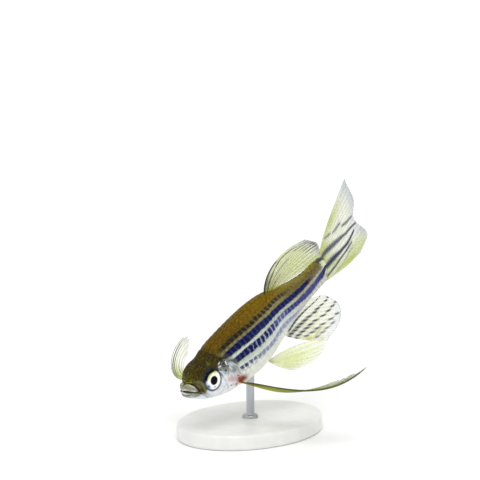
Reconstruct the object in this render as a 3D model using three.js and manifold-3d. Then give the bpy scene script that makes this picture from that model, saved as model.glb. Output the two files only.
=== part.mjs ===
// A zebra danio of the long-finned kind: a still, life-size model that swims nose down over a plain stand.
// Units are millimetres. In the fish's own frame x runs from the snout back along the body, y points to the
// fish's right and z to its back. The fish is shaped straight, bent a little at the tail, then pitched,
// banked and lifted onto the rod. The stand's frame has +Z up and its origin under the middle of the base.

import * as THREE from 'three';
import { mergeVertices } from 'three/addons/utils/BufferGeometryUtils.js';
import ManifoldModule from 'manifold-3d';

const wasm = await ManifoldModule();
wasm.setup();

// Pose and overall size
const standardLength = 34;
const pitch = THREE.MathUtils.degToRad(24);
const bank = THREE.MathUtils.degToRad(4.8);
const bendStart = 14;
const tailBend = 1.09;
const bodyHeight = 14.2;
const bodyForward = 1.2;
const keelAside = 0.45;

// Body outline: height of the back and of the belly, and half of the width, at stations from the snout
const backStations = [[0, 0.8], [1.5, 1.2], [3, 1.9], [5, 2.6], [6.5, 3.22], [8, 3.62], [12, 4.14],
  [16, 4.5], [19.5, 4.25], [24, 2.95], [28, 2.3], [31, 2.35], [34, 2.5]];
const bellyStations = [[0, -2.0], [1.5, -2.42], [3.5, -3.5], [6, -4.5], [9, -5.2], [12.5, -5.6],
  [16, -5.3], [19, -4.4], [21.5, -3.6], [25, -2.65], [28.5, -2.3], [31, -2.2], [34, -2.35]];
const widthStations = [[0, 1.25], [1.5, 1.52], [3.5, 2.2], [6, 2.6], [9, 2.85], [12.5, 3.0],
  [16, 2.8], [20, 2.3], [24, 1.7], [28, 1.2], [31, 0.85], [34, 0.45]];
const noseLevel = 0;
const noseLength = 2.5;
const noseBluntness = 2.3;
const widestLevel = 0.52;
const sectionFullness = 2.25;
const leastHalfWidth = 0.02;
const bodyStationCount = 38;
const bodyRoundCount = 32;
const noseCrowding = 1.15;
const rearSpread = 0.45;

// Cuts between the parts of the body
const cutWidth = 0.25;
const pieceGap = 0.22;
const mouthCut = [[-1.5, 0.7], [0, -0.02], [0.8, -0.5], [1.75, -0.85], [2.4, -1.6], [2.9, -2.6],
  [3.1, -5]];
const gillCut = [[5.9, 6.5], [6.3, 2.2], [7.6, 1.1], [8.7, -0.6], [8.85, -2.2], [8.0, -3.6],
  [6.9, -4.6], [6.5, -7]];
const peduncleCut = [[28.2, 5], [28.6, 0.1], [28.2, -5]];
const cutReach = 8;
const cutStepsPerPoint = 4;

// Gill cover: a round plate let into the side of the head
const coverCentre = [7.6, -1.3];
const coverRadius = [2.0, 2.75];
const coverThickness = 0.6;
const coverInnerSide = 0.4;
const coverRoundCount = 24;

// Eye
const eyeCentre = [4.0, 2.17, -0.12];
const eyeRadius = 1.5;
const eyeFlatness = 0.3;
const eyeForwardTurn = THREE.MathUtils.degToRad(2.5);
const eyeUpwardTilt = THREE.MathUtils.degToRad(8.5);
const eyeRoundCount = 20;
const eyeRingCount = 12;

// Fins and feelers
const finThickness = 0.5;
const barbelRadius = 0.26;
const barbelSteps = 5;
const barbelArcSteps = 3;

// How many strips each kind of fin has from its first ray to its last, and along a ray
const medianFinGrid = [12, 7];
const tailFinGrid = [20, 7];
const pectoralFinGrid = [7, 11];
const pelvicFinGrid = [8, 6];

// Stand
const baseLength = 24;
const baseWidth = 18;
const baseThickness = 2.2;
const baseBevel = 0.45;
const baseRoundCount = 40;
const rodRadius = 0.6;
const rodGap = 0.22;
const rodRoundCount = 20;
const keelStretch = [10, 16];
const keelTolerance = 1e-4;

/** A smooth line through a few stations: a cubic whose slope at each one is that between its neighbours. */
function lineThrough(stations) {
  const last = stations.length - 1;
  const slopeAt = (i) => {
    const before = stations[Math.max(i - 1, 0)];
    const after = stations[Math.min(i + 1, last)];
    return (after[1] - before[1]) / (after[0] - before[0]);
  };
  return (x) => {
    let i = 0;
    while (i < last - 1 && x > stations[i + 1][0]) i += 1;
    const [x0, y0] = stations[i];
    const [x1, y1] = stations[i + 1];
    const step = x1 - x0;
    const t = THREE.MathUtils.clamp((x - x0) / step, 0, 1);
    const rise = t * t * (3 - 2 * t);
    const slopes = step * (slopeAt(i) * t * (1 - t) ** 2 - slopeAt(i + 1) * t * t * (1 - t));
    return y0 + (y1 - y0) * rise + slopes;
  };
}

const backLine = lineThrough(backStations);
const bellyLine = lineThrough(bellyStations);
const widthLine = lineThrough(widthStations);

/** Share of the full section that the rounded nose has reached at a station. */
function noseShare(x) {
  const rest = Math.max(1 - x / noseLength, 0);
  return (1 - rest ** noseBluntness) ** (1 / noseBluntness);
}

/** Sideways shift of the body at a station: the tail swings gently to the fish's right. */
function bendAt(x) {
  const share = Math.max((x - bendStart) / (standardLength - bendStart), 0);
  return tailBend * share * share;
}

/** Bend a geometry of the straight fish in place. */
function bendGeometry(geometry) {
  const place = geometry.attributes.position;
  for (let i = 0; i < place.count; i += 1) {
    place.setY(i, place.getY(i) + bendAt(place.getX(i)));
  }
  return geometry;
}

/** A signed power, which turns a circle into a fuller section. */
function fuller(value) {
  return Math.sign(value) * Math.abs(value) ** (2 / sectionFullness);
}

/** A point on the body, or on a like surface further in, by station and angle round from the right side. */
function bodyPoint(x, angle, inset = 0) {
  const share = noseShare(x);
  const top = noseLevel + (backLine(x) - noseLevel) * share - inset;
  const bottom = noseLevel + (bellyLine(x) - noseLevel) * share + inset;
  const half = Math.max(widthLine(x) * share - inset, leastHalfWidth);
  const level = bottom + (top - bottom) * widestLevel;
  const lift = fuller(Math.sin(angle));
  const reach = lift > 0 ? top - level : level - bottom;
  return new THREE.Vector3(x, half * fuller(Math.cos(angle)), level + reach * lift);
}

/** Close a grid of rings, with a point at each end, into one solid. */
function solidFromRings(rings, firstPoint, lastPoint) {
  const round = rings[0].length;
  const points = [firstPoint, ...rings.flat(), lastPoint];
  const index = [];
  const at = (ring, step) => 1 + ring * round + (step % round);
  for (let k = 0; k < round; k += 1) {
    index.push(0, at(0, k + 1), at(0, k));
    index.push(points.length - 1, at(rings.length - 1, k), at(rings.length - 1, k + 1));
  }
  for (let ring = 0; ring < rings.length - 1; ring += 1) {
    for (let k = 0; k < round; k += 1) {
      index.push(at(ring, k), at(ring, k + 1), at(ring + 1, k));
      index.push(at(ring, k + 1), at(ring + 1, k + 1), at(ring + 1, k));
    }
  }
  return geometryFrom(points, index);
}

/** A geometry of shared vertices from points and triangle corners. */
function geometryFrom(points, index) {
  const geometry = new THREE.BufferGeometry();
  geometry.setAttribute('position', new THREE.Float32BufferAttribute(points.flatMap((p) => p.toArray()), 3));
  geometry.setIndex(index);
  return geometry;
}

/** The whole body, or its core when an inset is given, as one loft that is closer stepped at the nose. */
function bodyLoft(inset = 0) {
  const rings = [];
  const start = leastHalfWidth + inset;
  for (let i = 0; i < bodyStationCount; i += 1) {
    const share = i / (bodyStationCount - 1);
    const reach = rearSpread * share * share + (1 - rearSpread) * share ** noseCrowding;
    const x = start + (standardLength - start) * reach;
    const ring = [];
    for (let k = 0; k < bodyRoundCount; k += 1) {
      ring.push(bodyPoint(x, (2 * Math.PI * k) / bodyRoundCount, inset));
    }
    rings.push(ring);
  }
  const nose = new THREE.Vector3(inset, 0, noseLevel);
  const tailLevel = (backLine(standardLength) + bellyLine(standardLength)) / 2;
  const tail = new THREE.Vector3(standardLength, 0, tailLevel);
  return solidFromRings(rings, nose, tail);
}

/** A boolean solid from a closed geometry. */
function toSolid(geometry) {
  const bare = geometry.clone();
  bare.deleteAttribute('normal');
  bare.deleteAttribute('uv');
  const merged = mergeVertices(bare, 1e-5);
  return new wasm.Manifold(new wasm.Mesh({
    numProp: 3,
    vertProperties: new Float32Array(merged.attributes.position.array),
    triVerts: new Uint32Array(merged.index.array),
  }));
}

/** A geometry from a boolean solid. */
function toGeometry(solid) {
  const mesh = solid.getMesh();
  const geometry = new THREE.BufferGeometry();
  geometry.setAttribute('position', new THREE.BufferAttribute(new Float32Array(mesh.vertProperties), 3));
  geometry.setIndex(new THREE.BufferAttribute(new Uint32Array(mesh.triVerts), 1));
  return geometry;
}

/** A shape drawn in x and z, extruded across the fish from one y to another. */
function acrossFish(shape, fromY, toY) {
  const options = { depth: toY - fromY, bevelEnabled: false, curveSegments: coverRoundCount };
  const geometry = new THREE.ExtrudeGeometry(shape, options);
  geometry.rotateX(Math.PI / 2);
  geometry.translate(0, toY, 0);
  return geometry;
}

/** A thin blade that follows a line of points in x and z, right across the fish. */
function blade(line) {
  const curve = new THREE.SplineCurve(line.map(([x, z]) => new THREE.Vector2(x, z)));
  const steps = cutStepsPerPoint * (line.length - 1);
  const front = [];
  const rear = [];
  for (let i = 0; i <= steps; i += 1) {
    const place = curve.getPoint(i / steps);
    const along = curve.getTangent(i / steps);
    const aside = new THREE.Vector2(-along.y, along.x).multiplyScalar(cutWidth / 2);
    front.push(place.clone().add(aside));
    rear.unshift(place.clone().sub(aside));
  }
  return toSolid(acrossFish(new THREE.Shape([...front, ...rear]), -cutReach, cutReach));
}

/** The eyeball, or the orbit round it when a clearance is given, on the side where y has the given sign. */
function eyeball(side, clearance = 0) {
  const geometry = new THREE.SphereGeometry(eyeRadius + clearance, eyeRoundCount, eyeRingCount);
  geometry.rotateX(Math.PI / 2);
  geometry.scale(1, (eyeRadius * eyeFlatness + clearance) / (eyeRadius + clearance), 1);
  geometry.rotateX(side * eyeUpwardTilt);
  geometry.rotateZ(side * eyeForwardTurn);
  geometry.translate(eyeCentre[0], side * eyeCentre[1], eyeCentre[2]);
  return geometry;
}

/** The round outline of the gill cover, grown by a margin. */
function coverShape(margin) {
  const shape = new THREE.Shape();
  shape.absellipse(...coverCentre, coverRadius[0] + margin, coverRadius[1] + margin, 0, 2 * Math.PI);
  return shape;
}

/** Cut the body into head, lower jaw, gill covers, trunk and tail stalk. */
function bodyParts() {
  const whole = toSolid(bodyLoft());
  const cuts = [mouthCut, gillCut, peduncleCut].map((line) => blade(line));
  let cutBody = whole;
  for (const cut of cuts) cutBody = cutBody.subtract(cut);
  const pieces = cutBody.decompose().sort((a, b) => middleX(a) - middleX(b));
  const [jaw, headBlock, trunk, peduncle] = pieces;

  const plateCore = toSolid(bodyLoft(coverThickness));
  const pocketCore = toSolid(bodyLoft(coverThickness + pieceGap));
  const parts = { lower_jaw: jaw, trunk, tail_peduncle: peduncle };
  let head = headBlock;
  for (const [name, side] of [['left', -1], ['right', 1]]) {
    const reach = side > 0 ? [coverInnerSide, cutReach] : [-cutReach, -coverInnerSide];
    const outline = toSolid(acrossFish(coverShape(0), ...reach));
    const pocket = toSolid(acrossFish(coverShape(pieceGap), ...reach));
    parts[`operculum_${name}`] = headBlock.intersect(outline).subtract(plateCore);
    head = head.subtract(pocket.subtract(pocketCore)).subtract(toSolid(eyeball(side, pieceGap)));
  }
  parts.head = head;
  return parts;
}

/** Middle of a boolean solid's box along the fish. */
function middleX(solid) {
  const box = solid.boundingBox();
  return (box.min[0] + box.max[0]) / 2;
}

/** Close a grid of points into a sheet of a fin's thickness. */
function sheetSolid(grid) {
  const rows = grid.length;
  const columns = grid[0].length;
  const normals = grid.map((row, i) => row.map((point, j) => {
    const alongRow = grid[Math.min(i + 1, rows - 1)][j].clone().sub(grid[Math.max(i - 1, 0)][j]);
    const alongColumn = row[Math.min(j + 1, columns - 1)].clone().sub(row[Math.max(j - 1, 0)]);
    return alongRow.cross(alongColumn).normalize().multiplyScalar(finThickness / 2);
  }));
  const upper = grid.flatMap((row, i) => row.map((point, j) => point.clone().add(normals[i][j])));
  const lower = grid.flatMap((row, i) => row.map((point, j) => point.clone().sub(normals[i][j])));
  const points = [...upper, ...lower];
  const under = rows * columns;
  const index = [];
  const at = (i, j) => i * columns + j;
  for (let i = 0; i < rows - 1; i += 1) {
    for (let j = 0; j < columns - 1; j += 1) {
      const [a, b, c, d] = [at(i, j), at(i + 1, j), at(i + 1, j + 1), at(i, j + 1)];
      index.push(a, b, c, a, c, d);
      index.push(under + a, under + c, under + b, under + a, under + d, under + c);
    }
  }
  const rim = [];
  for (let j = 0; j < columns - 1; j += 1) rim.push(at(0, j));
  for (let i = 0; i < rows - 1; i += 1) rim.push(at(i, columns - 1));
  for (let j = columns - 1; j > 0; j -= 1) rim.push(at(rows - 1, j));
  for (let i = rows - 1; i > 0; i -= 1) rim.push(at(i, 0));
  rim.forEach((a, k) => {
    const b = rim[(k + 1) % rim.length];
    index.push(a, b, under + b, a, under + b, under + a);
  });
  return geometryFrom(points, index);
}

/**
 * A fin from its key rays, first to last. Each is a cubic curve: its root, the point it leaves towards, the
 * point it arrives from, and its tip. The rays between follow smooth curves through those of the key rays.
 */
function fin(keyRays, rayCount, stepCount) {
  const guides = [0, 1, 2, 3].map((k) => {
    const places = keyRays.map((ray) => new THREE.Vector3(...ray[k]));
    return new THREE.CatmullRomCurve3(places, false, 'catmullrom');
  });
  const grid = [];
  for (let i = 0; i <= rayCount; i += 1) {
    const ray = new THREE.CubicBezierCurve3(...guides.map((guide) => guide.getPoint(i / rayCount)));
    grid.push(ray.getPoints(stepCount));
  }
  return sheetSolid(grid);
}

/** Places on the right side, from those given for the left. */
function mirrored(places) {
  return places.map(([x, y, z]) => [x, -y, z]);
}

// Dorsal fin, laid back: from the first ray to the last
const dorsalRays = [
  [[19.4, 0, 4.5], [20.1, 0, 6.7], [23.6, 0, 8.8], [30.6, 0, 6.7]],
  [[20.3, 0, 4.3], [21.8, 0, 5.9], [26.0, 0, 7.2], [32.0, 0, 5.6]],
  [[21.2, 0, 4.1], [23.2, 0, 4.9], [27.8, 0, 5.2], [33.3, 0, 4.3]],
  [[22.2, 0, 3.8], [24.8, 0, 3.4], [28.5, 0, 2.6], [33.3, 0, 2.9]],
];

// Anal fin, long and swept back
const analRays = [
  [[20.9, 0, -4.1], [23.2, 0, -6.4], [26.2, 0, -8.7], [29.9, 0, -11.2]],
  [[23.2, 0, -3.4], [26.0, 0, -5.6], [29.6, 0, -8.0], [34.0, 0, -10.3]],
  [[25.7, 0, -2.85], [28.0, 0, -4.2], [31.2, 0, -5.9], [34.8, 0, -7.6]],
  [[28.3, 0, -2.6], [29.4, 0, -2.85], [30.6, 0, -3.3], [32.0, 0, -4.0]],
];

// Tail fin: upper lobe, fork and lower lobe
const caudalRays = [
  [[33.7, 0, 2.95], [34.9, 0, 5.6], [38.2, 0, 7.6], [43.1, 0, 9.8]],
  [[34.3, 0, 1.6], [37.0, 0, 3.4], [40.5, 0, 5.0], [44.3, 0, 5.6]],
  [[34.3, 0, 0.15], [37.2, 0, 0.9], [40.2, 0, 1.6], [43.3, 0, 2.6]],
  [[34.3, 0, -1.2], [38.0, 0, -1.6], [42.0, 0, -1.7], [45.9, 0, -1.6]],
  [[33.9, 0, -2.75], [36.4, 0, -3.2], [39.6, 0, -3.7], [43.2, 0, -3.4]],
];

// Pectoral fins, held out like wings with their tips swept back
const pectoralRaysLeft = [
  [[8.5, -3.0, -3.4], [9.6, -8.3, -2.65], [10.3, -16.2, -5.3], [21.1, -15.6, -5.4]],
  [[8.8, -2.9, -3.65], [9.9, -7.9, -4.3], [12.3, -12.9, -5.9], [18.8, -12.9, -6.5]],
  [[9.1, -2.8, -3.9], [10.1, -5.8, -5.0], [11.3, -8.0, -6.2], [15.3, -10.2, -7.0]],
];
const pectoralRaysRight = [
  [[8.5, 3.0, -3.1], [3.3, 9.6, -6.4], [10.6, 15.0, -4.6], [16.0, 16.2, -5.3]],
  [[8.8, 2.95, -3.3], [4.6, 9.8, -6.3], [10.8, 14.0, -5.2], [15.7, 14.5, -4.8]],
  [[9.1, 2.85, -3.6], [7.2, 7.8, -5.0], [8.9, 11.4, -5.6], [12.6, 11.8, -4.8]],
];

// Pelvic fins, half spread under the belly
const pelvicRaysLeft = [
  [[16.2, -0.85, -5.45], [16.7, -1.8, -6.6], [17.8, -2.7, -7.5], [18.8, -2.9, -8.2]],
  [[16.35, -0.85, -5.5], [17.8, -2.0, -7.0], [20.8, -3.1, -8.2], [23.0, -3.4, -9.1]],
  [[16.5, -0.8, -5.5], [18.7, -2.1, -7.1], [22.8, -3.0, -8.0], [26.6, -3.0, -9.0]],
  [[16.8, -0.6, -5.45], [19.2, -0.6, -5.7], [22.3, -1.2, -5.9], [26.6, -2.2, -7.9]],
];
const pelvicRaysRight = [
  [[16.2, 0.85, -5.45], [16.8, 1.8, -6.0], [17.9, 2.5, -6.1], [19.2, 3.0, -6.0]],
  [[16.35, 0.85, -5.5], [17.8, 1.9, -5.9], [19.6, 2.5, -5.9], [21.9, 3.0, -5.6]],
  [[16.5, 0.8, -5.5], [18.2, 1.7, -5.7], [20.6, 2.1, -5.4], [23.9, 2.6, -4.7]],
  [[16.8, 0.6, -5.45], [18.4, 1.1, -5.4], [20.6, 1.7, -4.9], [24.0, 2.1, -4.1]],
];

// Feelers on the left of the mouth: a short one on the snout and a longer one at the corner of the mouth
const barbelsLeft = {
  rostral: [[1.9, -1.8, 0.45], [2.15, -2.05, 0.1], [2.5, -2.2, -0.45]],
  maxillary: [[1.95, -2.12, -1.1], [2.9, -2.5, -2.3], [4.9, -2.55, -3.1]],
};

/** A slender feeler that curves from its root past a bow to its tip. */
function barbel(guides) {
  const path = new THREE.QuadraticBezierCurve3(...guides.map((place) => new THREE.Vector3(...place)));
  const section = new THREE.Shape();
  section.absarc(0, 0, barbelRadius, 0, 2 * Math.PI);
  const counts = { steps: barbelSteps, curveSegments: barbelArcSteps };
  return new THREE.ExtrudeGeometry(section, { ...counts, extrudePath: path, bevelEnabled: false });
}

// Surfaces
const finish = {
  flesh: { color: 0x6f7468, roughness: 0.45, metalness: 0 },
  cover: { color: 0xc9ccc6, roughness: 0.35, metalness: 0 },
  eye: { color: 0x1b1d22, roughness: 0.08, metalness: 0 },
  fin: { color: 0xb7bf8e, roughness: 0.4, metalness: 0 },
  barbel: { color: 0xa8a48c, roughness: 0.5, metalness: 0 },
  base: { color: 0xe6e6e2, roughness: 0.4, metalness: 0 },
  rod: { color: 0xb9bcc0, roughness: 0.3, metalness: 1 },
};

/** A named mesh with a finish. */
function piece(name, geometry, { color, roughness, metalness }) {
  const mesh = new THREE.Mesh(geometry, new THREE.MeshStandardMaterial({ color, roughness, metalness }));
  mesh.name = name;
  return mesh;
}

/** All the fish's pieces, bent at the tail and held in the photographed pose. */
function danio() {
  const pieces = [];
  for (const [name, solid] of Object.entries(bodyParts())) {
    const kind = name.startsWith('operculum') ? finish.cover : finish.flesh;
    pieces.push(piece(name, toGeometry(solid), kind));
  }
  pieces.push(piece('eye_left', eyeball(-1), finish.eye));
  pieces.push(piece('eye_right', eyeball(1), finish.eye));
  pieces.push(piece('dorsal_fin', fin(dorsalRays, ...medianFinGrid), finish.fin));
  pieces.push(piece('anal_fin', fin(analRays, ...medianFinGrid), finish.fin));
  pieces.push(piece('tail_fin', fin(caudalRays, ...tailFinGrid), finish.fin));
  pieces.push(piece('pectoral_fin_left', fin(pectoralRaysLeft, ...pectoralFinGrid), finish.fin));
  pieces.push(piece('pectoral_fin_right', fin(pectoralRaysRight, ...pectoralFinGrid), finish.fin));
  pieces.push(piece('pelvic_fin_left', fin(pelvicRaysLeft, ...pelvicFinGrid), finish.fin));
  pieces.push(piece('pelvic_fin_right', fin(pelvicRaysRight, ...pelvicFinGrid), finish.fin));
  for (const [kind, guides] of Object.entries(barbelsLeft)) {
    pieces.push(piece(`barbel_${kind}_left`, barbel(guides), finish.barbel));
    pieces.push(piece(`barbel_${kind}_right`, barbel(mirrored(guides)), finish.barbel));
  }
  const fish = new THREE.Group();
  for (const part of pieces) {
    bendGeometry(part.geometry).translate(-bendStart, 0, 0);
    fish.add(part);
  }
  fish.rotation.set(bank, -pitch, 0, 'YXZ');
  fish.position.set(-bodyForward, -keelAside, bodyHeight);
  return fish;
}

/** Height of the keel of the belly over the middle of the base: the posed keel is searched by halving. */
function keelHeight(fish) {
  fish.updateMatrixWorld();
  const keelAt = (x) => {
    const place = new THREE.Vector3(x - bendStart, bendAt(x), bellyLine(x));
    return place.applyMatrix4(fish.matrixWorld);
  };
  let [front, rear] = keelStretch;
  while (rear - front > keelTolerance) {
    const middle = (front + rear) / 2;
    if (keelAt(middle).x < 0) front = middle;
    else rear = middle;
  }
  return keelAt(front).z;
}

/** The stand: an oval base with eased edges and a slim rod whose top is cut to the slope of the belly. */
function stand(topHeight) {
  const half = baseLength / 2;
  const edge = [[0, 0], [half - baseBevel, 0], [half, baseBevel], [half, baseThickness - baseBevel],
    [half - baseBevel, baseThickness], [0, baseThickness]];
  const profile = edge.map(([r, z]) => new THREE.Vector2(r, z));
  const baseGeometry = new THREE.LatheGeometry(profile, baseRoundCount);
  baseGeometry.rotateX(Math.PI / 2);
  baseGeometry.scale(1, baseWidth / baseLength, 1);

  const rodTop = topHeight - rodGap;
  const rodLength = rodTop - baseThickness;
  const rodGeometry = new THREE.CylinderGeometry(rodRadius, rodRadius, rodLength, rodRoundCount);
  rodGeometry.rotateX(Math.PI / 2);
  rodGeometry.translate(0, 0, (rodTop + baseThickness) / 2);
  const place = rodGeometry.attributes.position;
  for (let i = 0; i < place.count; i += 1) {
    const slope = place.getZ(i) > rodTop - rodGap ? Math.tan(pitch) : 0;
    place.setZ(i, place.getZ(i) + place.getX(i) * slope);
  }
  const group = new THREE.Group();
  group.add(piece('stand_base', baseGeometry, finish.base));
  group.add(piece('stand_rod', rodGeometry, finish.rod));
  return group;
}

const model = new THREE.Group();
const fish = danio();
model.add(fish);
model.add(stand(keelHeight(fish)));

export default model;
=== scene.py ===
import logging
import math
from dataclasses import dataclass, replace
from enum import Enum

import bpy
import numpy as np
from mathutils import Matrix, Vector

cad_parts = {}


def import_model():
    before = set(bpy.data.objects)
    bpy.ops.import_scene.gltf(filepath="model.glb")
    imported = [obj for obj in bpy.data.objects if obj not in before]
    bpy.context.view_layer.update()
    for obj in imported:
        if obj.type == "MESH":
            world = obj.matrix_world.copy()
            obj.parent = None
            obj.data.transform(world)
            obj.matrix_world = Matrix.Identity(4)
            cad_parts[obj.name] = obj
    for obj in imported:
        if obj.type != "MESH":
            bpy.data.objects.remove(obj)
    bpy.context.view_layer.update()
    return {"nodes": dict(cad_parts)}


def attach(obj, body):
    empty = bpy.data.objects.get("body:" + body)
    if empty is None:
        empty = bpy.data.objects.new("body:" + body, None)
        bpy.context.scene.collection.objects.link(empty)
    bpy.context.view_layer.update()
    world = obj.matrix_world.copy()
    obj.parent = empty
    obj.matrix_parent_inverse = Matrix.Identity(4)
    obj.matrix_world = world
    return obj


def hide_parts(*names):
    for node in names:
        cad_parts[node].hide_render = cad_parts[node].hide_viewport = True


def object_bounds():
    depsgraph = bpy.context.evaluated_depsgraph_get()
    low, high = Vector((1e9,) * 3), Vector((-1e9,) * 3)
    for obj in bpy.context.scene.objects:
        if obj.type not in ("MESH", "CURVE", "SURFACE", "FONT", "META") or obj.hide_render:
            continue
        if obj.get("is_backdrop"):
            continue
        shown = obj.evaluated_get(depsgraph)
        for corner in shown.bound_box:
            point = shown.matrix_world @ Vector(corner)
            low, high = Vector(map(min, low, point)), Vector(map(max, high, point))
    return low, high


Array = np.ndarray
Colour = tuple[float, float, float]
Stations = tuple[tuple[float, float], ...]
Stops = tuple[tuple[float, Colour], ...]
Socket = bpy.types.NodeSocket
Material = bpy.types.Material
Piece = bpy.types.Object

MILLIMETRE = 0.001
BODY_LENGTH = 34.0
LANES = 9
LOG = logging.getLogger("danio")


def smooth(value: Array | float, low: float, high: float) -> Array:
    """Eased share from 0 at low to 1 at high: t t (3 - 2 t), t the straight share held to 0 and 1."""
    t = np.clip((np.asarray(value, float) - low) / (high - low), 0.0, 1.0)
    return t * t * (3.0 - 2.0 * t)


def bell(distance: Array, reach: Array | float) -> Array:
    """Soft spot, 1 in the middle and fading outwards: exp(-(distance / reach) squared)."""
    return np.exp(-((distance / reach) ** 2))


def unit(vectors: Array) -> Array:
    """Vectors of length one along the last axis."""
    return vectors / np.maximum(np.linalg.norm(vectors, axis=-1, keepdims=True), 1e-12)


def circle(count: int) -> Array:
    """Angles in radians, evenly round a circle from 0."""
    return np.linspace(0, 2 * np.pi, count, endpoint=False)


def travelled(line: Array) -> Array:
    """How far along a line of points each one lies, by the summed lengths of the chords before it."""
    return np.concatenate([[0], np.cumsum(np.linalg.norm(np.diff(line, axis=0), axis=1))])


def colour(red: float, green: float, blue: float) -> tuple[float, float, float, float]:
    """A screen colour, 0 to 255, as the linear colour that a shader takes, by the sRGB curve."""
    linear = [c / 3294.6 if c <= 10.3 else ((c / 255 + 0.055) / 1.055) ** 2.4 for c in (red, green, blue)]
    return (*linear, 1.0)


# Shape of the fish, in millimetres along its own straight axis

@dataclass(frozen=True)
class Course:
    """A smooth line through stations of (place, value)."""

    stations: Stations

    def at(self, place: Array | float) -> Array:
        """The line's value: a cubic between stations, whose slopes are those of their neighbours' chords.

        Args:
            place: Where along the line, held within its ends.
        Returns:
            The value at each place.
        """
        xs, ys = np.array(self.stations, float).T
        before = np.maximum(np.arange(len(xs)) - 1, 0)
        after = np.minimum(np.arange(len(xs)) + 1, len(xs) - 1)
        slope = (ys[after] - ys[before]) / (xs[after] - xs[before])
        x = np.clip(np.asarray(place, float), xs[0], xs[-1])
        k = np.clip(np.searchsorted(xs, x, side="right") - 1, 0, len(xs) - 2)
        span = xs[k + 1] - xs[k]
        t = (x - xs[k]) / span
        rise = (ys[k + 1] - ys[k]) * t * t * (3 - 2 * t)
        return ys[k] + rise + span * (slope[k] * t * (1 - t) ** 2 - slope[k + 1] * t * t * (1 - t))


@dataclass(frozen=True)
class Pose:
    """How the straight fish is bent, turned and set over its stand."""

    length: float = BODY_LENGTH
    middle: float = 14.0
    bend_start: float = 14.0
    tail_bend: float = 1.09
    pitch: float = -24.0
    bank: float = 4.8
    place: Colour = (-1.2, -0.45, 14.2)

    def world(self, points: Array) -> Array:
        """Points of the straight fish, in the frame's metres.

        The tail swings sideways by its bend times the squared share of the way to its end. Then the fish is
        banked about its own length, pitched nose down about the side axis and moved to its place.

        Args:
            points: Points in millimetres, of any shape whose last axis is x, y, z.
        Returns:
            The same points in metres.
        """
        posed = np.array(points, float)
        swing = np.maximum(posed[..., 0] - self.bend_start, 0) / (self.length - self.bend_start)
        posed[..., 1] += self.tail_bend * swing**2
        posed[..., 0] -= self.middle
        a, b = math.radians(self.pitch), math.radians(self.bank)
        pitched = np.array([[math.cos(a), 0, math.sin(a)], [0, 1, 0], [-math.sin(a), 0, math.cos(a)]])
        banked = np.array([[1, 0, 0], [0, math.cos(b), -math.sin(b)], [0, math.sin(b), math.cos(b)]])
        return (posed @ (pitched @ banked).T + np.array(self.place)) * MILLIMETRE


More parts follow.
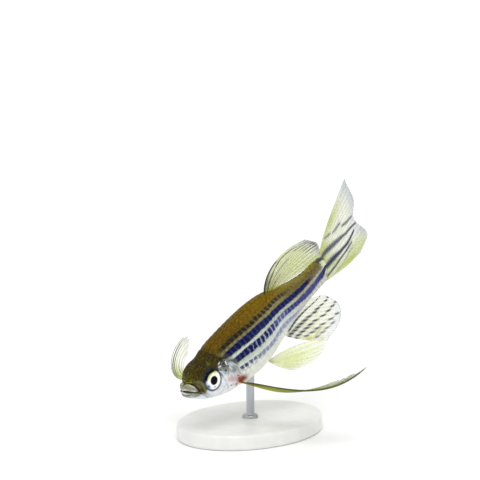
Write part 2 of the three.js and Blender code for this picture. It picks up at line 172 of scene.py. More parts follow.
@dataclass(frozen=True)
class BodyForm:
    """The body's outer surface: along is millimetres from the snout, angle runs round from the right."""

    back: Course = Course((
        (0, 0.8), (1.5, 1.2), (3, 1.9), (5, 2.6), (6.5, 3.22), (8, 3.62), (12, 4.14), (16, 4.5),
        (19.5, 4.25), (24, 2.95), (28, 2.3), (31, 2.35), (34, 2.5)))
    belly: Course = Course((
        (0, -2.0), (1.5, -2.42), (3.5, -3.5), (6, -4.5), (9, -5.2), (12.5, -5.6), (16, -5.3), (19, -4.4),
        (21.5, -3.6), (25, -2.65), (28.5, -2.3), (31, -2.2), (34, -2.35)))
    width: Course = Course((
        (0, 1.25), (1.5, 1.52), (3.5, 2.2), (6, 2.6), (9, 2.85), (12.5, 3.0), (16, 2.8), (20, 2.3),
        (24, 1.7), (28, 1.2), (31, 0.85), (34, 0.45)))
    nose_length: float = 2.5
    nose_bluntness: float = 2.3
    widest_level: float = 0.52
    fullness: float = 2.25
    tail_close: float = 31.8
    tail_end: float = 33.8
    tail_roundness: float = 2.6
    steps_a_corner: int = 24

    def levels(self, along: Array) -> tuple[Array, Array, Array]:
        """Top, underside and half width at each place, all drawn in towards the snout as a blunt oval.

        Args:
            along: Millimetres from the snout.
        Returns:
            Heights of the top and the underside, and half widths.
        """
        ahead = np.maximum(1 - np.asarray(along, float) / self.nose_length, 0)
        swell = (1 - ahead**self.nose_bluntness) ** (1 / self.nose_bluntness)
        return self.back.at(along) * swell, self.belly.at(along) * swell, self.width.at(along) * swell

    def point(self, along: Array, angle: Array) -> Array:
        """Points of the surface: ovals fuller than an ellipse, widest a little above their middle.

        Args:
            along: Millimetres from the snout.
            angle: Radians round the section, 90 degrees at the back and 270 at the belly.
        Returns:
            The points, x, y, z in millimetres.
        """
        along, angle = np.broadcast_arrays(np.asarray(along, float), np.asarray(angle, float))
        top, under, half = self.levels(along)
        level = under + (top - under) * self.widest_level
        round_the = 2 / self.fullness
        side = np.sign(np.cos(angle)) * np.abs(np.cos(angle)) ** round_the
        lift = np.sign(np.sin(angle)) * np.abs(np.sin(angle)) ** round_the
        end = np.clip((along - self.tail_close) / (self.tail_end - self.tail_close), 0, 1)
        close = np.sqrt(1 - end**self.tail_roundness)
        height = np.where(lift > 0, top - level, level - under) * lift
        return np.stack([along, half * side * close, level + height * close], -1)

    def outward(self, along: Array, angle: Array) -> Array:
        """Unit normals of the surface, from the cross product of two short chords.

        Args:
            along: Millimetres from the snout.
            angle: Radians round the section, 90 degrees at the back and 270 at the belly.
        Returns:
            The unit normals.
        """
        step, turn = 0.03, 0.01
        chord = self.point(along + step, angle) - self.point(np.maximum(along - step, 0.0), angle)
        round_it = self.point(along, angle + turn) - self.point(along, angle - turn)
        return unit(np.cross(round_it, chord))

    def girth(self, angle: Array) -> Array:
        """Degrees from the back, 0, to the belly, 180, alike on both sides."""
        degrees = np.degrees(np.asarray(angle, float)) % 360
        return np.abs(np.where(degrees > 270, degrees - 360, degrees) - 90)

    def marked(self, path: Stations) -> Array:
        """Points of the left side at (along, girth in degrees), with steps of about a tenth of a millimetre.

        Args:
            path: The line's corners on the unrolled surface.
        Returns:
            Points on the surface, in order.
        """
        corners = np.array(path, float)
        if len(corners) == 1:
            steps = corners
        else:
            share = np.linspace(0, len(corners) - 1, self.steps_a_corner * (len(corners) - 1) + 1)
            steps = np.stack([np.interp(share, np.arange(len(corners)), corners[:, k]) for k in (0, 1)], 1)
        return self.point(steps[:, 0], np.radians(90 + steps[:, 1]))

    def girth_at(self, along: float, level: float) -> float:
        """The girth in degrees where the side of the body is at a height, found from the oval's formula.

        Args:
            along: Millimetres from the snout.
            level: The height, in millimetres.
        Returns:
            The girth, in degrees.
        """
        top, under, _ = self.levels(along)
        middle = under + (top - under) * self.widest_level
        reach = top - middle if level > middle else middle - under
        lift = min(abs(level - middle) / reach, 1.0) ** (self.fullness / 2)
        return 90 - math.degrees(math.asin(lift)) * (1 if level > middle else -1)


def distance_to(points: Array, line: Array) -> tuple[Array, Array]:
    """Distance from each point, folded onto the left side, to a line of points, and how far along that is.

    Args:
        points: Points of the straight fish, (n, 3).
        line: Points of the line, (m, 3).
    Returns:
        The distance to the nearest of the line's points, and its place as a share of the line.
    """
    folded = points.copy()
    folded[:, 1] = -np.abs(points[:, 1])
    best = np.full(len(points), 1e9)
    where = np.zeros(len(points))
    for index, spot in enumerate(line):
        gap = ((folded - spot) ** 2).sum(1)
        closer = gap < best
        best[closer] = gap[closer]
        where[closer] = index
    return np.sqrt(best), where / max(len(line) - 1, 1)


# Markings that skin and scales share

GILL_EDGE: Stations = ((-7.0, 6.5), (-4.6, 6.9), (-3.6, 8.0), (-2.2, 8.85), (-0.6, 8.7), (1.1, 7.6),
                       (2.2, 6.3), (6.5, 5.9))


def behind_gill(points: Array) -> Array:
    """Millimetres behind the gill cover's rear edge, a line of (height, along) seen from the side."""
    levels, places = np.array(GILL_EDGE).T
    return points[..., 0] - np.interp(points[..., 2], levels, places)


@dataclass(frozen=True)
class Stripe:
    """One dark stripe of the flank, as its middle and half width in degrees of girth."""

    middle: Course
    half: Course
    start: tuple[float, float]
    end: tuple[float, float]
    strength: float
    dash: Course
    pitch: float
    tone: Course
    joint_lean: float = 0.018

    def force(self, along: Array) -> Array:
        """How strong the stripe is: it rises over its start, and fades out over its end."""
        return self.strength * smooth(along, *self.start) * (1 - smooth(along, *self.end))

    def beat(self, along: Array, girth: Array) -> Array:
        """The number of the dash at a point, whose joints lean back a little below the stripe's middle."""
        return (along - self.joint_lean * (girth - self.middle.at(along))) / self.pitch


@dataclass(frozen=True)
class FlankMarks:
    """The four stripes, and the lane number that tells a shader which band a point lies in."""

    stripes: tuple[Stripe, ...] = (
        Stripe(
            middle=Course(((7, 38), (8, 38.7), (10, 39), (12, 40.5), (14, 43), (16, 44.3), (18, 44.5),
                (20, 41.5), (22, 38), (24, 35), (28, 30))),
            half=Course(((7, 4.5), (9, 6), (12, 6), (16, 5.2), (18, 5.6), (24, 7.2), (28, 8))),
            dash=Course(((7, 0.3), (12, 0.4), (15, 0.65), (22, 0.7))),
            tone=Course(((7, 0.02), (13, 0.08), (16, 0.12), (20, 0.15), (26, 0.21))),
            start=(6.6, 7.5), end=(20.5, 27.0), strength=1.0, pitch=0.87),
        Stripe(
            middle=Course(((6.5, 56.5), (8, 57.9), (10, 58), (12, 59.4), (14, 61.4), (16, 63.3), (18, 64.3),
                (22, 64.7), (24, 64.5), (26, 64.3), (28, 62.5), (31, 63))),
            half=Course(((6.5, 3.5), (7.3, 6), (8, 8.2), (10, 9.5), (12, 9.3), (14, 8.4), (16, 7.8),
                (18, 7.7), (22, 8.1), (24, 9.8), (26, 10.5), (28, 9.5))),
            dash=Course(((7, 0.1), (28, 0.07))),
            tone=Course(((7, 0.38), (12, 0.42), (18, 0.46), (24, 0.5), (26.5, 0.46), (28.5, 0.3))),
            start=(6.4, 7.7), end=(28.0, 30.2), strength=1.0, pitch=0.9),
        Stripe(
            middle=Course(((7.6, 77), (8.5, 80), (11, 79.6), (12, 80.4), (14, 82.8), (16, 83.9), (18, 84.3),
                (20, 84.6), (22, 87), (24, 91.3), (26, 96.3), (28, 98), (30, 97.2), (31, 96.3), (32, 95),
                (33, 88))),
            half=Course(((7.6, 2.5), (8.3, 5.8), (9, 7), (12, 7.6), (14, 7.1), (16, 6.7), (20, 6.2),
                (22, 5.8), (24, 6.4), (26, 10.3), (28, 12.2), (30, 10.6), (32, 11.5), (33, 10))),
            dash=Course(((8, 0.08), (10.5, 0.12), (12, 0.45), (14.5, 0.8), (20, 0.75), (22, 0.3), (25, 0.1),
                (33, 0.08))),
            tone=Course(((8, 0.4), (13, 0.43), (16, 0.53), (17.5, 0.6), (19, 0.65), (20.5, 0.64), (22, 0.58),
                (25, 0.59), (28, 0.62), (31, 0.58), (33, 0.5))),
            start=(7.5, 8.3), end=(36.0, 38.0), strength=1.0, pitch=0.9),
        Stripe(
            middle=Course(((9, 97), (12, 99.5), (16, 104), (18, 102), (20, 103), (22, 110), (24, 122),
                (26, 130), (34, 145))),
            half=Course(((9, 2.3), (12, 2.6), (16, 3.5), (20, 4.8), (24, 6), (28, 3))),
            dash=Course(((9, 1.0), (11, 0.95), (14, 0.75), (24, 0.5))),
            tone=Course(((9, 0.45), (11, 0.6), (13, 0.8), (18, 0.88), (24, 0.94))),
            start=(8.6, 9.1), end=(22.5, 27.0), strength=0.9, pitch=0.93),
    )
    body_end: float = 31.25
    end_slant: float = 0.0135

    def lanes(self, along: Array, girth: Array) -> dict[str, Array]:
        """The lane of each point, and what the stripe nearest to it is like there.

        The lane runs evenly from one band's edge to the next: the back is 0 to 1, the first stripe 1 to 2,
        and so on to 9. It is given as a share of 9.

        Args:
            along: Millimetres from the snout.
            girth: Degrees from the back.
        Returns:
            Attributes lane, those of the nearest stripe (force, dash, tone, beat), and brink, the
            millimetres behind the slanting line where the body's colour ends.
        """
        edges = [np.zeros_like(along)]
        for stripe in self.stripes:
            middle, half = stripe.middle.at(along), stripe.half.at(along)
            edges += [middle - half, middle + half]
        edges.append(np.full_like(along, 180.0))
        lane = sum(np.clip((girth - low) / (high - low), 0, 1) for low, high in zip(edges, edges[1:]))
        between = (2.5, 4.5, 6.5)
        nearest = np.digitize(lane, between)
        force = np.choose(nearest, [s.force(along) for s in self.stripes])
        dash = np.choose(nearest, [s.dash.at(along) for s in self.stripes])
        tone = np.choose(nearest, [s.tone.at(along) for s in self.stripes])
        beat = np.choose(nearest, [s.beat(along, girth) for s in self.stripes])
        brink = along - self.body_end - self.end_slant * girth
        return {"lane": lane / LANES, "force": force, "dash": dash, "tone": tone, "beat": beat,
                "brink": brink}


class Tint(Enum):
    """The head's small marks, each an attribute that the finish paints in its own colour. The brown and the
    dark tints also lay painted shade along creases and round the eyes, and the glints are painted highlights.
    """

    LIP = "lip"
    OLIVE = "olive"
    GREY = "grey"
    LIME = "lime"
    BROWN = "brown"
    NAVY = "navy"
    PINK = "pink"
    RED = "red"
    GLINT = "glint"
    DARK = "dark"


@dataclass(frozen=True)
class Mark:
    """A spot or streak of a tint along a path of (along, girth)."""

    path: Stations
    reach: float
    strength: float = 1.0


HEAD_MARKS = (
    (Tint.LIP, (
        Mark(((0.15, 0), (0.3, 35), (0.45, 60), (0.8, 78), (1.15, 88)), 0.38),
        Mark(((0.6, 8), (0.8, 30), (1.0, 55), (1.25, 76)), 0.22, 0.9),
    )),
    (Tint.OLIVE, (
        Mark(((0.06, 175), (0.2, 125), (0.54, 103), (0.9, 103), (1.4, 105)), 0.26),
        Mark(((1.5, 20), (1.72, 50), (1.88, 78)), 0.2, 0.75),
        Mark(((2.05, 50), (2.28, 70), (2.35, 88), (2.25, 104)), 0.24, 0.85),
    )),
    (Tint.GREY, (
        Mark(((0.1, 175), (0.46, 132), (0.96, 122), (1.6, 118)), 0.22, 0.8),
        Mark(((2.55, 66), (2.6, 80)), 0.14, 0.5),
        Mark(((1.9, 100), (2.2, 112), (2.6, 128), (3.0, 140)), 0.2, 0.6),
        Mark(((2.95, 124), (3.4, 138), (4.0, 150)), 0.14, 0.35),
        Mark(((4.2, 112), (5.0, 100), (5.5, 84), (5.45, 70)), 0.14, 0.55),
        Mark(((4.6, 134), (5.4, 126), (5.8, 112)), 0.16, 0.3),
        Mark(((5.2, 68), (5.8, 76), (5.7, 88)), 0.42, 0.8), Mark(((6.5, 78), (6.7, 88)), 0.4, 0.65),
        Mark(((7.4, 70), (8.0, 76), (8.5, 84)), 0.4, 0.8), Mark(((4.75, 88), (4.9, 98)), 0.25, 0.6),
        Mark(((5.5, 64), (6.2, 72), (7.0, 68), (7.6, 70)), 0.45, 0.8),
        Mark(((6.0, 108), (6.3, 118), (6.3, 128)), 0.12, 0.5),
        Mark(((7.0, 96), (7.2, 101), (7.3, 112)), 0.12, 0.5), Mark(((6.6, 79), (7.2, 86), (7.8, 93)), 0.52),
        Mark(((7.9, 86), (8.4, 92), (8.6, 102)), 0.3, 0.75), Mark(((6.9, 104), (8.2, 108)), 0.4, 0.45),
        Mark(((7.85, 131), (8.1, 136)), 0.22, 0.6), Mark(((9.4, 122), (10.1, 134), (10.2, 150)), 0.45, 0.7),
    )),
    (Tint.BROWN, (
        Mark(((2.7, 10), (5.5, 10)), 0.85, 0.7), Mark(((2.8, 22), (3.0, 26), (5.2, 28)), 0.7, 0.6),
        # painted shade along the crease of the upper lip's arch and of the fold behind it
        Mark(((0.5, 0), (0.84, 3), (1.06, 17), (1.2, 38), (1.38, 59), (1.52, 74), (1.64, 86), (1.8, 97)),
            0.075),
        Mark(((1.1, 0), (1.46, 16.5), (1.64, 43.5), (1.92, 68), (2.0, 83), (2.18, 103)), 0.07, 0.6),
        Mark(((1.9, 4), (2.5, 6)), 0.3, 0.4), Mark(((2.05, 28), (2.3, 36)), 0.16, 0.7),
        Mark(((2.2, 48), (2.45, 52)), 0.16, 0.6), Mark(((1.1, 118), (1.25, 117)), 0.1, 0.7),
        # the first mark here is painted shade along the crease under the lower lip
        Mark(((0.5, 180), (0.6, 142), (0.85, 124)), 0.09, 0.6), Mark(((2.4, 20), (2.75, 14)), 0.22, 0.6),
        Mark(((2.6, 26), (3.2, 29), (4.1, 27)), 0.34), Mark(((3.9, 5), (4.4, 13), (4.8, 15)), 0.36),
        Mark(((4.95, 3), (5.4, 8), (5.8, 6)), 0.3, 0.95), Mark(((5.3, 20), (5.7, 26)), 0.26, 0.9),
        Mark(((5.5, 10), (5.8, 22), (6.1, 36)), 0.16, 0.8),
        Mark(((5.2, 60), (5.9, 57), (6.5, 59), (7.3, 62)), 0.36, 0.8),
        Mark(((5.0, 55), (5.4, 56), (5.5, 60), (5.35, 68)), 0.28),
        Mark(((6.0, 52), (6.3, 58), (6.3, 66)), 0.34, 1.1),
        Mark(((6.5, 60), (6.9, 56), (7.4, 60)), 0.24, 0.95),
        Mark(((6.5, 54), (6.46, 64), (6.6, 70)), 0.28, 1.1),
        Mark(((6.3, 50), (6.48, 58), (6.5, 66), (6.6, 72)), 0.3, 1.2),
        Mark(((5.3, 66), (5.6, 71), (5.75, 76)), 0.16, 0.6),
        Mark(((6.1, 60), (6.3, 68), (6.45, 75)), 0.24, 0.85), Mark(((6.0, 73), (6.2, 70)), 0.11, 0.6),
        Mark(((6.8, 120), (6.92, 122)), 0.11, 0.8), Mark(((8.6, 130), (9.3, 132)), 0.2, 0.6),
    )),
    (Tint.LIME, (
        Mark(((0.98, 3), (1.2, 17), (1.34, 36)), 0.07, 0.7),
        Mark(((0.7, 6), (0.92, 20), (1.06, 38)), 0.06, 0.6),
        Mark(((5.98, 0), (6.0, 12), (6.12, 26)), 0.08, 0.3), Mark(((2.1, 8), (2.25, 16)), 0.14, 0.4),
        Mark(((2.9, 10), (3.3, 17), (3.5, 22)), 0.2, 0.5),
        Mark(((4.4, 32), (4.9, 33), (5.2, 30)), 0.18, 0.45),
        Mark(((4.0, 20), (4.4, 20), (4.7, 21)), 0.14, 0.45),
        Mark(((4.6, 4), (4.9, 9), (5.1, 14)), 0.12, 0.4), Mark(((6.6, 93), (6.8, 86)), 0.16, 0.5),
    )),
    (Tint.GLINT, (
        Mark(((0.95, 40), (1.15, 55), (1.32, 68)), 0.06, 0.5),
        Mark(((0.04, 15), (0.1, 40), (0.24, 60)), 0.13, 0.8), Mark(((0.85, 80), (1.2, 87)), 0.07, 0.6),
        Mark(((5.72, 60), (5.86, 57), (6.04, 57)), 0.075, 0.95), Mark(((5.65, 65), (5.9, 66)), 0.1, 0.9),
        Mark(((6.84, 65), (6.8, 72)), 0.09), Mark(((7.15, 82), (7.4, 88)), 0.14, 0.6),
        Mark(((5.6, 76), (5.9, 82), (6.0, 92)), 0.1, 0.6),
    )),
    (Tint.DARK, (
        # painted shade in the mouth's slit, along its groove
        Mark(((0.0, 58), (0.14, 66), (0.35, 80), (0.6, 88)), 0.13),
        Mark(((0.6, 88), (1.02, 93), (1.5, 96)), 0.075, 0.95),
        Mark(((4.3, 20), (4.8, 26), (5.3, 24)), 0.16, 0.55),
        Mark(((3.2, 8), (3.7, 12), (3.9, 20)), 0.15, 0.5),
        Mark(((5.1, 33), (5.6, 36), (5.9, 32)), 0.14, 0.5),
        Mark(((3.3, 56), (3.9, 51), (4.5, 54), (4.9, 60)), 0.16, 0.9),
        Mark(((6.3, 50), (6.48, 58), (6.5, 66), (6.6, 72)), 0.15, 0.75),
        Mark(((6.38, 72), (6.45, 78), (6.5, 84)), 0.12, 0.9),
        Mark(((5.65, 60), (6.0, 61), (6.35, 56)), 0.065, 0.9),
        Mark(((5.6, 52), (6.05, 51), (6.4, 49)), 0.09, 0.5),
        Mark(((6.6, 55), (7.1, 56), (7.5, 60)), 0.1, 0.7), Mark(((6.96, 78),), 0.15),
        Mark(((6.32, 82), (6.42, 83.5)), 0.12), Mark(((6.2, 88), (6.27, 88)), 0.08, 0.9),
        Mark(((5.5, 84), (5.7, 87)), 0.075, 0.6), Mark(((8.15, 105), (8.35, 107)), 0.11, 0.85),
        Mark(((8.78, 105.5), (8.85, 107)), 0.11, 0.85), Mark(((7.78, 125), (7.92, 127)), 0.12, 0.9),
    )),
    (Tint.NAVY, (
        Mark(((2.6, 64), (2.8, 54), (3.3, 48), (3.9, 46), (4.5, 50)), 0.3, 0.95),
        Mark(((5.9, 96), (6.0, 103)), 0.09, 0.45), Mark(((6.5, 96), (6.6, 101)), 0.08, 0.4),
        Mark(((5.3, 108), (5.5, 112)), 0.08, 0.35), Mark(((7.35, 68), (7.7, 73), (8.1, 76)), 0.09, 0.7),
    )),
    (Tint.PINK, (
        Mark(((6.7, 103), (7.3, 109), (8.1, 112)), 0.36, 0.9), Mark(((7.4, 104), (8.3, 99)), 0.28, 0.6),
        Mark(((7.1, 120), (8.0, 125), (8.7, 134)), 0.24, 0.6),
    )),
    (Tint.RED, (
        Mark(((8.4, 116), (8.9, 121), (9.5, 128)), 0.52, 1.3),
    )),
)


@dataclass(frozen=True)
class HeadMarks:
    """The markings of the head and of the skin round the gills and the chest fins' roots."""

    crown_edge: Course = Course((
        (0.5, 88), (1.2, 98), (1.8, 108), (2.15, 108), (2.45, 95), (2.8, 82), (3.2, 70), (4.5, 62),
        (5.2, 60), (5.6, 54), (6.2, 52), (7.0, 50), (8.0, 48)))
    reach_back: float = 11.0
    marks: tuple[tuple[Tint, tuple[Mark, ...]], ...] = HEAD_MARKS

    def attributes(self, form: BodyForm, along: Array, girth: Array, points: Array) -> dict[str, Array]:
        """The head's share, its band from crown to throat, and each tint's strength at every point.

        Marks of one tint join as 1 minus the product of what each leaves bare.

        Args:
            form: The body's surface.
            along: Millimetres from the snout, (n,).
            girth: Degrees from the back, (n,).
            points: Points of the surface, (n, 3).
        Returns:
            One array for each attribute.
        """
        edge = self.crown_edge.at(along)
        under = (girth - edge) / (180 - edge)
        face = np.where(girth < edge, girth / edge, 1 + 2 * under) / 3
        facts = {"head": 1 - smooth(behind_gill(points), -0.1, 0.12), "face": face}
        near = np.flatnonzero(along < self.reach_back)
        bare = {tint: np.ones(len(along)) for tint in Tint}
        for tint, marks in self.marks:
            for mark in marks:
                gap, _ = distance_to(points[near], form.marked(mark.path))
                bare[tint][near] *= 1 - mark.strength * bell(gap, mark.reach)
        facts.update({tint.value: 1 - left for tint, left in bare.items()})
        return facts


# Meshes

@dataclass
class Shape:
    """Points, faces and point attributes on their way into a mesh."""

    points: Array
    quads: Array
    triangles: Array
    facts: dict[str, Array]

    @staticmethod
    def grid(rows: int, columns: int, ring: bool) -> Array:
        """Quads of a grid of points, row after row: each joins four neighbours, and a ring is closed.

        Args:
            rows: Rows of points.
            columns: Points in a row.
            ring: Whether each row closes on itself.
        Returns:
            The quads, (n, 4).
        """
        across = np.arange(columns if ring else columns - 1)
        low = np.arange(rows - 1)[:, None] * columns
        left, right = low + across, low + (across + 1) % columns
        return np.stack([left, right, right + columns, left + columns], -1).reshape(-1, 4)

    @staticmethod
    def leaf(rows: int, columns: int) -> Array:
        """Quads of a closed leaf: an upper grid, a lower one numbered on from it, and a rim.

        Args:
            rows: Rows of points in each grid.
            columns: Points in a row.
        Returns:
            The quads, (n, 4).
        """
        size = rows * columns
        top = Shape.grid(rows, columns, False)
        edge = np.concatenate([np.arange(columns), np.arange(2, rows + 1) * columns - 1,
                               np.arange(size - 2, size - columns - 1, -1),
                               np.arange(rows - 2, 0, -1) * columns])
        after = np.roll(edge, -1)
        rim = np.stack([edge, edge + size, after + size, after], 1)
        return np.concatenate([top, top[:, ::-1] + size, rim])

    @staticmethod
    def tube(rings: Array, facts: dict[str, Array], ends: tuple[Array, Array]) -> "Shape":
        """A closed shape from rings of points and a pole beyond each end.

        Args:
            rings: Points, (rows, round, 3).
            facts: Attributes, (rows, round) each. A pole takes the mean of the ring next to it.
            ends: The first and the last pole.
        Returns:
            The closed shape.
        """
        rows, count = rings.shape[:2]
        points = np.concatenate([rings.reshape(-1, 3), ends[0][None], ends[1][None]])
        values = {k: np.concatenate([f.reshape(-1), [f[0].mean(), f[-1].mean()]]) for k, f in facts.items()}
        ring = np.arange(count)
        after = (ring + 1) % count
        start = np.stack([np.full(count, rows * count), after, ring], 1)
        last = (rows - 1) * count
        stop = np.stack([np.full(count, rows * count + 1), last + ring, last + after], 1)
        return Shape(points, Shape.grid(rows, count, True), np.concatenate([start, stop]), values)

    def faced_out(self) -> "Shape":
        """The same closed shape, its faces turned outwards by the sign of the volume they enclose.

        Returns:
            This shape, or a turned copy of it.
        """
        split = np.concatenate([self.quads[:, [0, 1, 2]], self.quads[:, [0, 2, 3]], self.triangles])
        a, b, c = (self.points[split[:, k]] for k in range(3))
        if np.einsum("ij,ij->i", a, np.cross(b, c)).sum() >= 0:
            return self
        return Shape(self.points, self.quads[:, ::-1], self.triangles[:, ::-1], self.facts)

    def build(self, name: str, pose: Pose | None, material: Material,
              flat_map: Array | None = None) -> Piece:
        """Puts the shape into a mesh object at the origin, shaded smooth.

        Args:
            name: The piece's name.
            pose: How its points are posed, or None where they are in metres already.
            material: Its finish.
            flat_map: A point's place on the unwrap, (points, 2), or None for no map.
        Returns:
            The new object.
        """
        places = pose.world(self.points) if pose else self.points
        mesh = bpy.data.meshes.new(name)
        mesh.vertices.add(len(places))
        mesh.vertices.foreach_set("co", places.astype(np.float32).ravel())
        corners = np.concatenate([self.quads.ravel(), self.triangles.ravel()]).astype(np.int32)
        ends = len(self.quads) * 4
        starts = np.concatenate([np.arange(0, ends, 4), np.arange(ends, len(corners), 3)]).astype(np.int32)
        mesh.loops.add(len(corners))
        mesh.loops.foreach_set("vertex_index", corners)
        mesh.polygons.add(len(starts))
        mesh.polygons.foreach_set("loop_start", starts)
        mesh.update(calc_edges=True)
        mesh.polygons.foreach_set("use_smooth", np.ones(len(starts), bool))
        for key, values in self.facts.items():
            layer = mesh.attributes.new(key, "FLOAT", "POINT")
            layer.data.foreach_set("value", values.astype(np.float32))
        if flat_map is not None:
            layer = mesh.uv_layers.new(name="OFBake")
            layer.data.foreach_set("uv", flat_map[corners].astype(np.float32).ravel())
        mesh.validate()
        mesh.materials.append(material)
        piece = bpy.data.objects.new(name, mesh)
        bpy.context.scene.collection.objects.link(piece)
        LOG.info("%s: %d points, %d faces", name, len(mesh.vertices), len(mesh.polygons))
        return piece


# Finishes

Feed = Socket | float | tuple


class Graph:
    """The nodes of one material, joined as they are made."""

    def __init__(self, name: str) -> None:
        """Starts an empty material of this name.

        Args:
            name: What the material is called.
        """
        self.material = bpy.data.materials.new(name)
        self.material.use_nodes = True
        self.tree = self.material.node_tree
        self.tree.nodes.clear()
        self.places: dict[Colour, Socket] = {}

    def node(self, kind: str, feeds: dict[str | int, Feed] | None = None,
             **settings: object) -> bpy.types.Node:
        """A node with its settings and what feeds its inputs.

        Args:
            kind: Blender's name for the node.
            feeds: A socket, number or colour for each input, by name or number.
            settings: The node's own options.
        Returns:
            The node.
        """
        made = self.tree.nodes.new(kind)
        for key, value in settings.items():
            setattr(made, key, value)
        for key, value in (feeds or {}).items():
            if isinstance(value, Socket):
                self.tree.links.new(value, made.inputs[key])
            else:
                made.inputs[key].default_value = value
        return made

    def fact(self, name: str) -> Socket:
        """A point attribute of the piece, as a number."""
        return self.node("ShaderNodeAttribute", attribute_name=name).outputs["Fac"]

    def sum(self, how: str, first: Feed, second: Feed = 0.0, third: Feed = 0.0) -> Socket:
        """One step of arithmetic, such as ADD, MULTIPLY or POWER."""
        return self.node("ShaderNodeMath", {0: first, 1: second, 2: third}, operation=how).outputs[0]

    def times(self, first: Feed, second: Feed) -> Socket:
        """Two numbers multiplied."""
        return self.sum("MULTIPLY", first, second)

    def scaled(self, value: Feed, factor: Feed, added: Feed) -> Socket:
        """A number times a factor, plus another."""
        return self.sum("MULTIPLY_ADD", value, factor, added)

    def within(self, value: Feed, low: float, high: float, start: float = 0.0, end: float = 1.0) -> Socket:
        """The value's eased share of the way from low to high, carried to start and end."""
        feeds = {"Value": value, "From Min": low, "From Max": high, "To Min": start, "To Max": end}
        return self.node("ShaderNodeMapRange", feeds, interpolation_type="SMOOTHSTEP").outputs[0]

    def mix(self, share: Feed, first: Feed, second: Feed, blend: str = "MIX") -> Socket:
        """Two colours mixed by a share."""
        return self.node("ShaderNodeMix", {0: share, 6: first, 7: second}, data_type="RGBA",
                         blend_type=blend).outputs[2]

    def greyed(self, share: Feed, shade: Feed, value: Feed) -> Socket:
        """A colour lightened or darkened, by a share, with a grey of this value."""
        grey = self.node("ShaderNodeCombineColor", {0: value, 1: value, 2: value}).outputs[0]
        return self.mix(share, shade, grey, "MULTIPLY")

    def ramp(self, value: Feed, stops: Stops, scale: float = 1.0) -> Socket:
        """Colours laid along a value.

        Args:
            value: What is looked up.
            stops: Each place and its screen colour, in order.
            scale: What a place is divided by.
        Returns:
            The colour.
        """
        made = self.node("ShaderNodeValToRGB", {0: value})
        elements = made.color_ramp.elements
        while len(elements) < len(stops):
            elements.new(0.5)
        for element, (place, shade) in zip(elements, stops):
            element.position = place / scale
            element.color = colour(*shade)
        return made.outputs["Color"]

    def noise(self, size: float, stretch: Colour = (1, 1, 1), detail: float = 2.0) -> Socket:
        """Cloudy noise about the piece's own coordinates.

        Args:
            size: The size of a cloud, in millimetres.
            stretch: How much finer it is along each axis.
            detail: How many finer layers are added.
        Returns:
            A number near one half.
        """
        if stretch not in self.places:
            place = self.node("ShaderNodeTexCoord").outputs["Object"]
            feeds = {"Vector": place, "Scale": tuple(stretch)}
            self.places[stretch] = self.node("ShaderNodeMapping", feeds).outputs[0]
        feeds = {"Vector": self.places[stretch], "Scale": 1 / (size * MILLIMETRE), "Detail": detail}
        return self.node("ShaderNodeTexNoise", feeds).outputs["Fac"]

    def drift(self, size: float, span: float, detail: float = 2.0) -> Socket:
        """Noise about nought, from minus to plus half of a span."""
        return self.scaled(self.noise(size, detail=detail), span, -span / 2)

    def spots(self, noise: Feed, low: float, high: float, most: float, where: Feed) -> Socket:
        """Soft spots where noise passes from low to high, at most this strong, within another share."""
        return self.times(self.within(noise, low, high, 0.0, most), where)

    def bump(self, height: Feed, depth: float, strength: float = 1.0) -> Socket:
        """A normal tilted by a height, whose full range stands for a depth in millimetres."""
        feeds = {"Height": height, "Distance": depth * MILLIMETRE, "Strength": strength}
        return self.node("ShaderNodeBump", feeds).outputs[0]

    def finish(self, feeds: dict[str | int, Feed]) -> Material:
        """Ends the graph with a Principled shader fed so, and returns the material.

        Args:
            feeds: What goes into the shader, by socket.
        Returns:
            The material.
        """
        shader = self.node("ShaderNodeBsdfPrincipled", feeds).outputs[0]
        self.node("ShaderNodeOutputMaterial", {"Surface": shader})
        return self.material


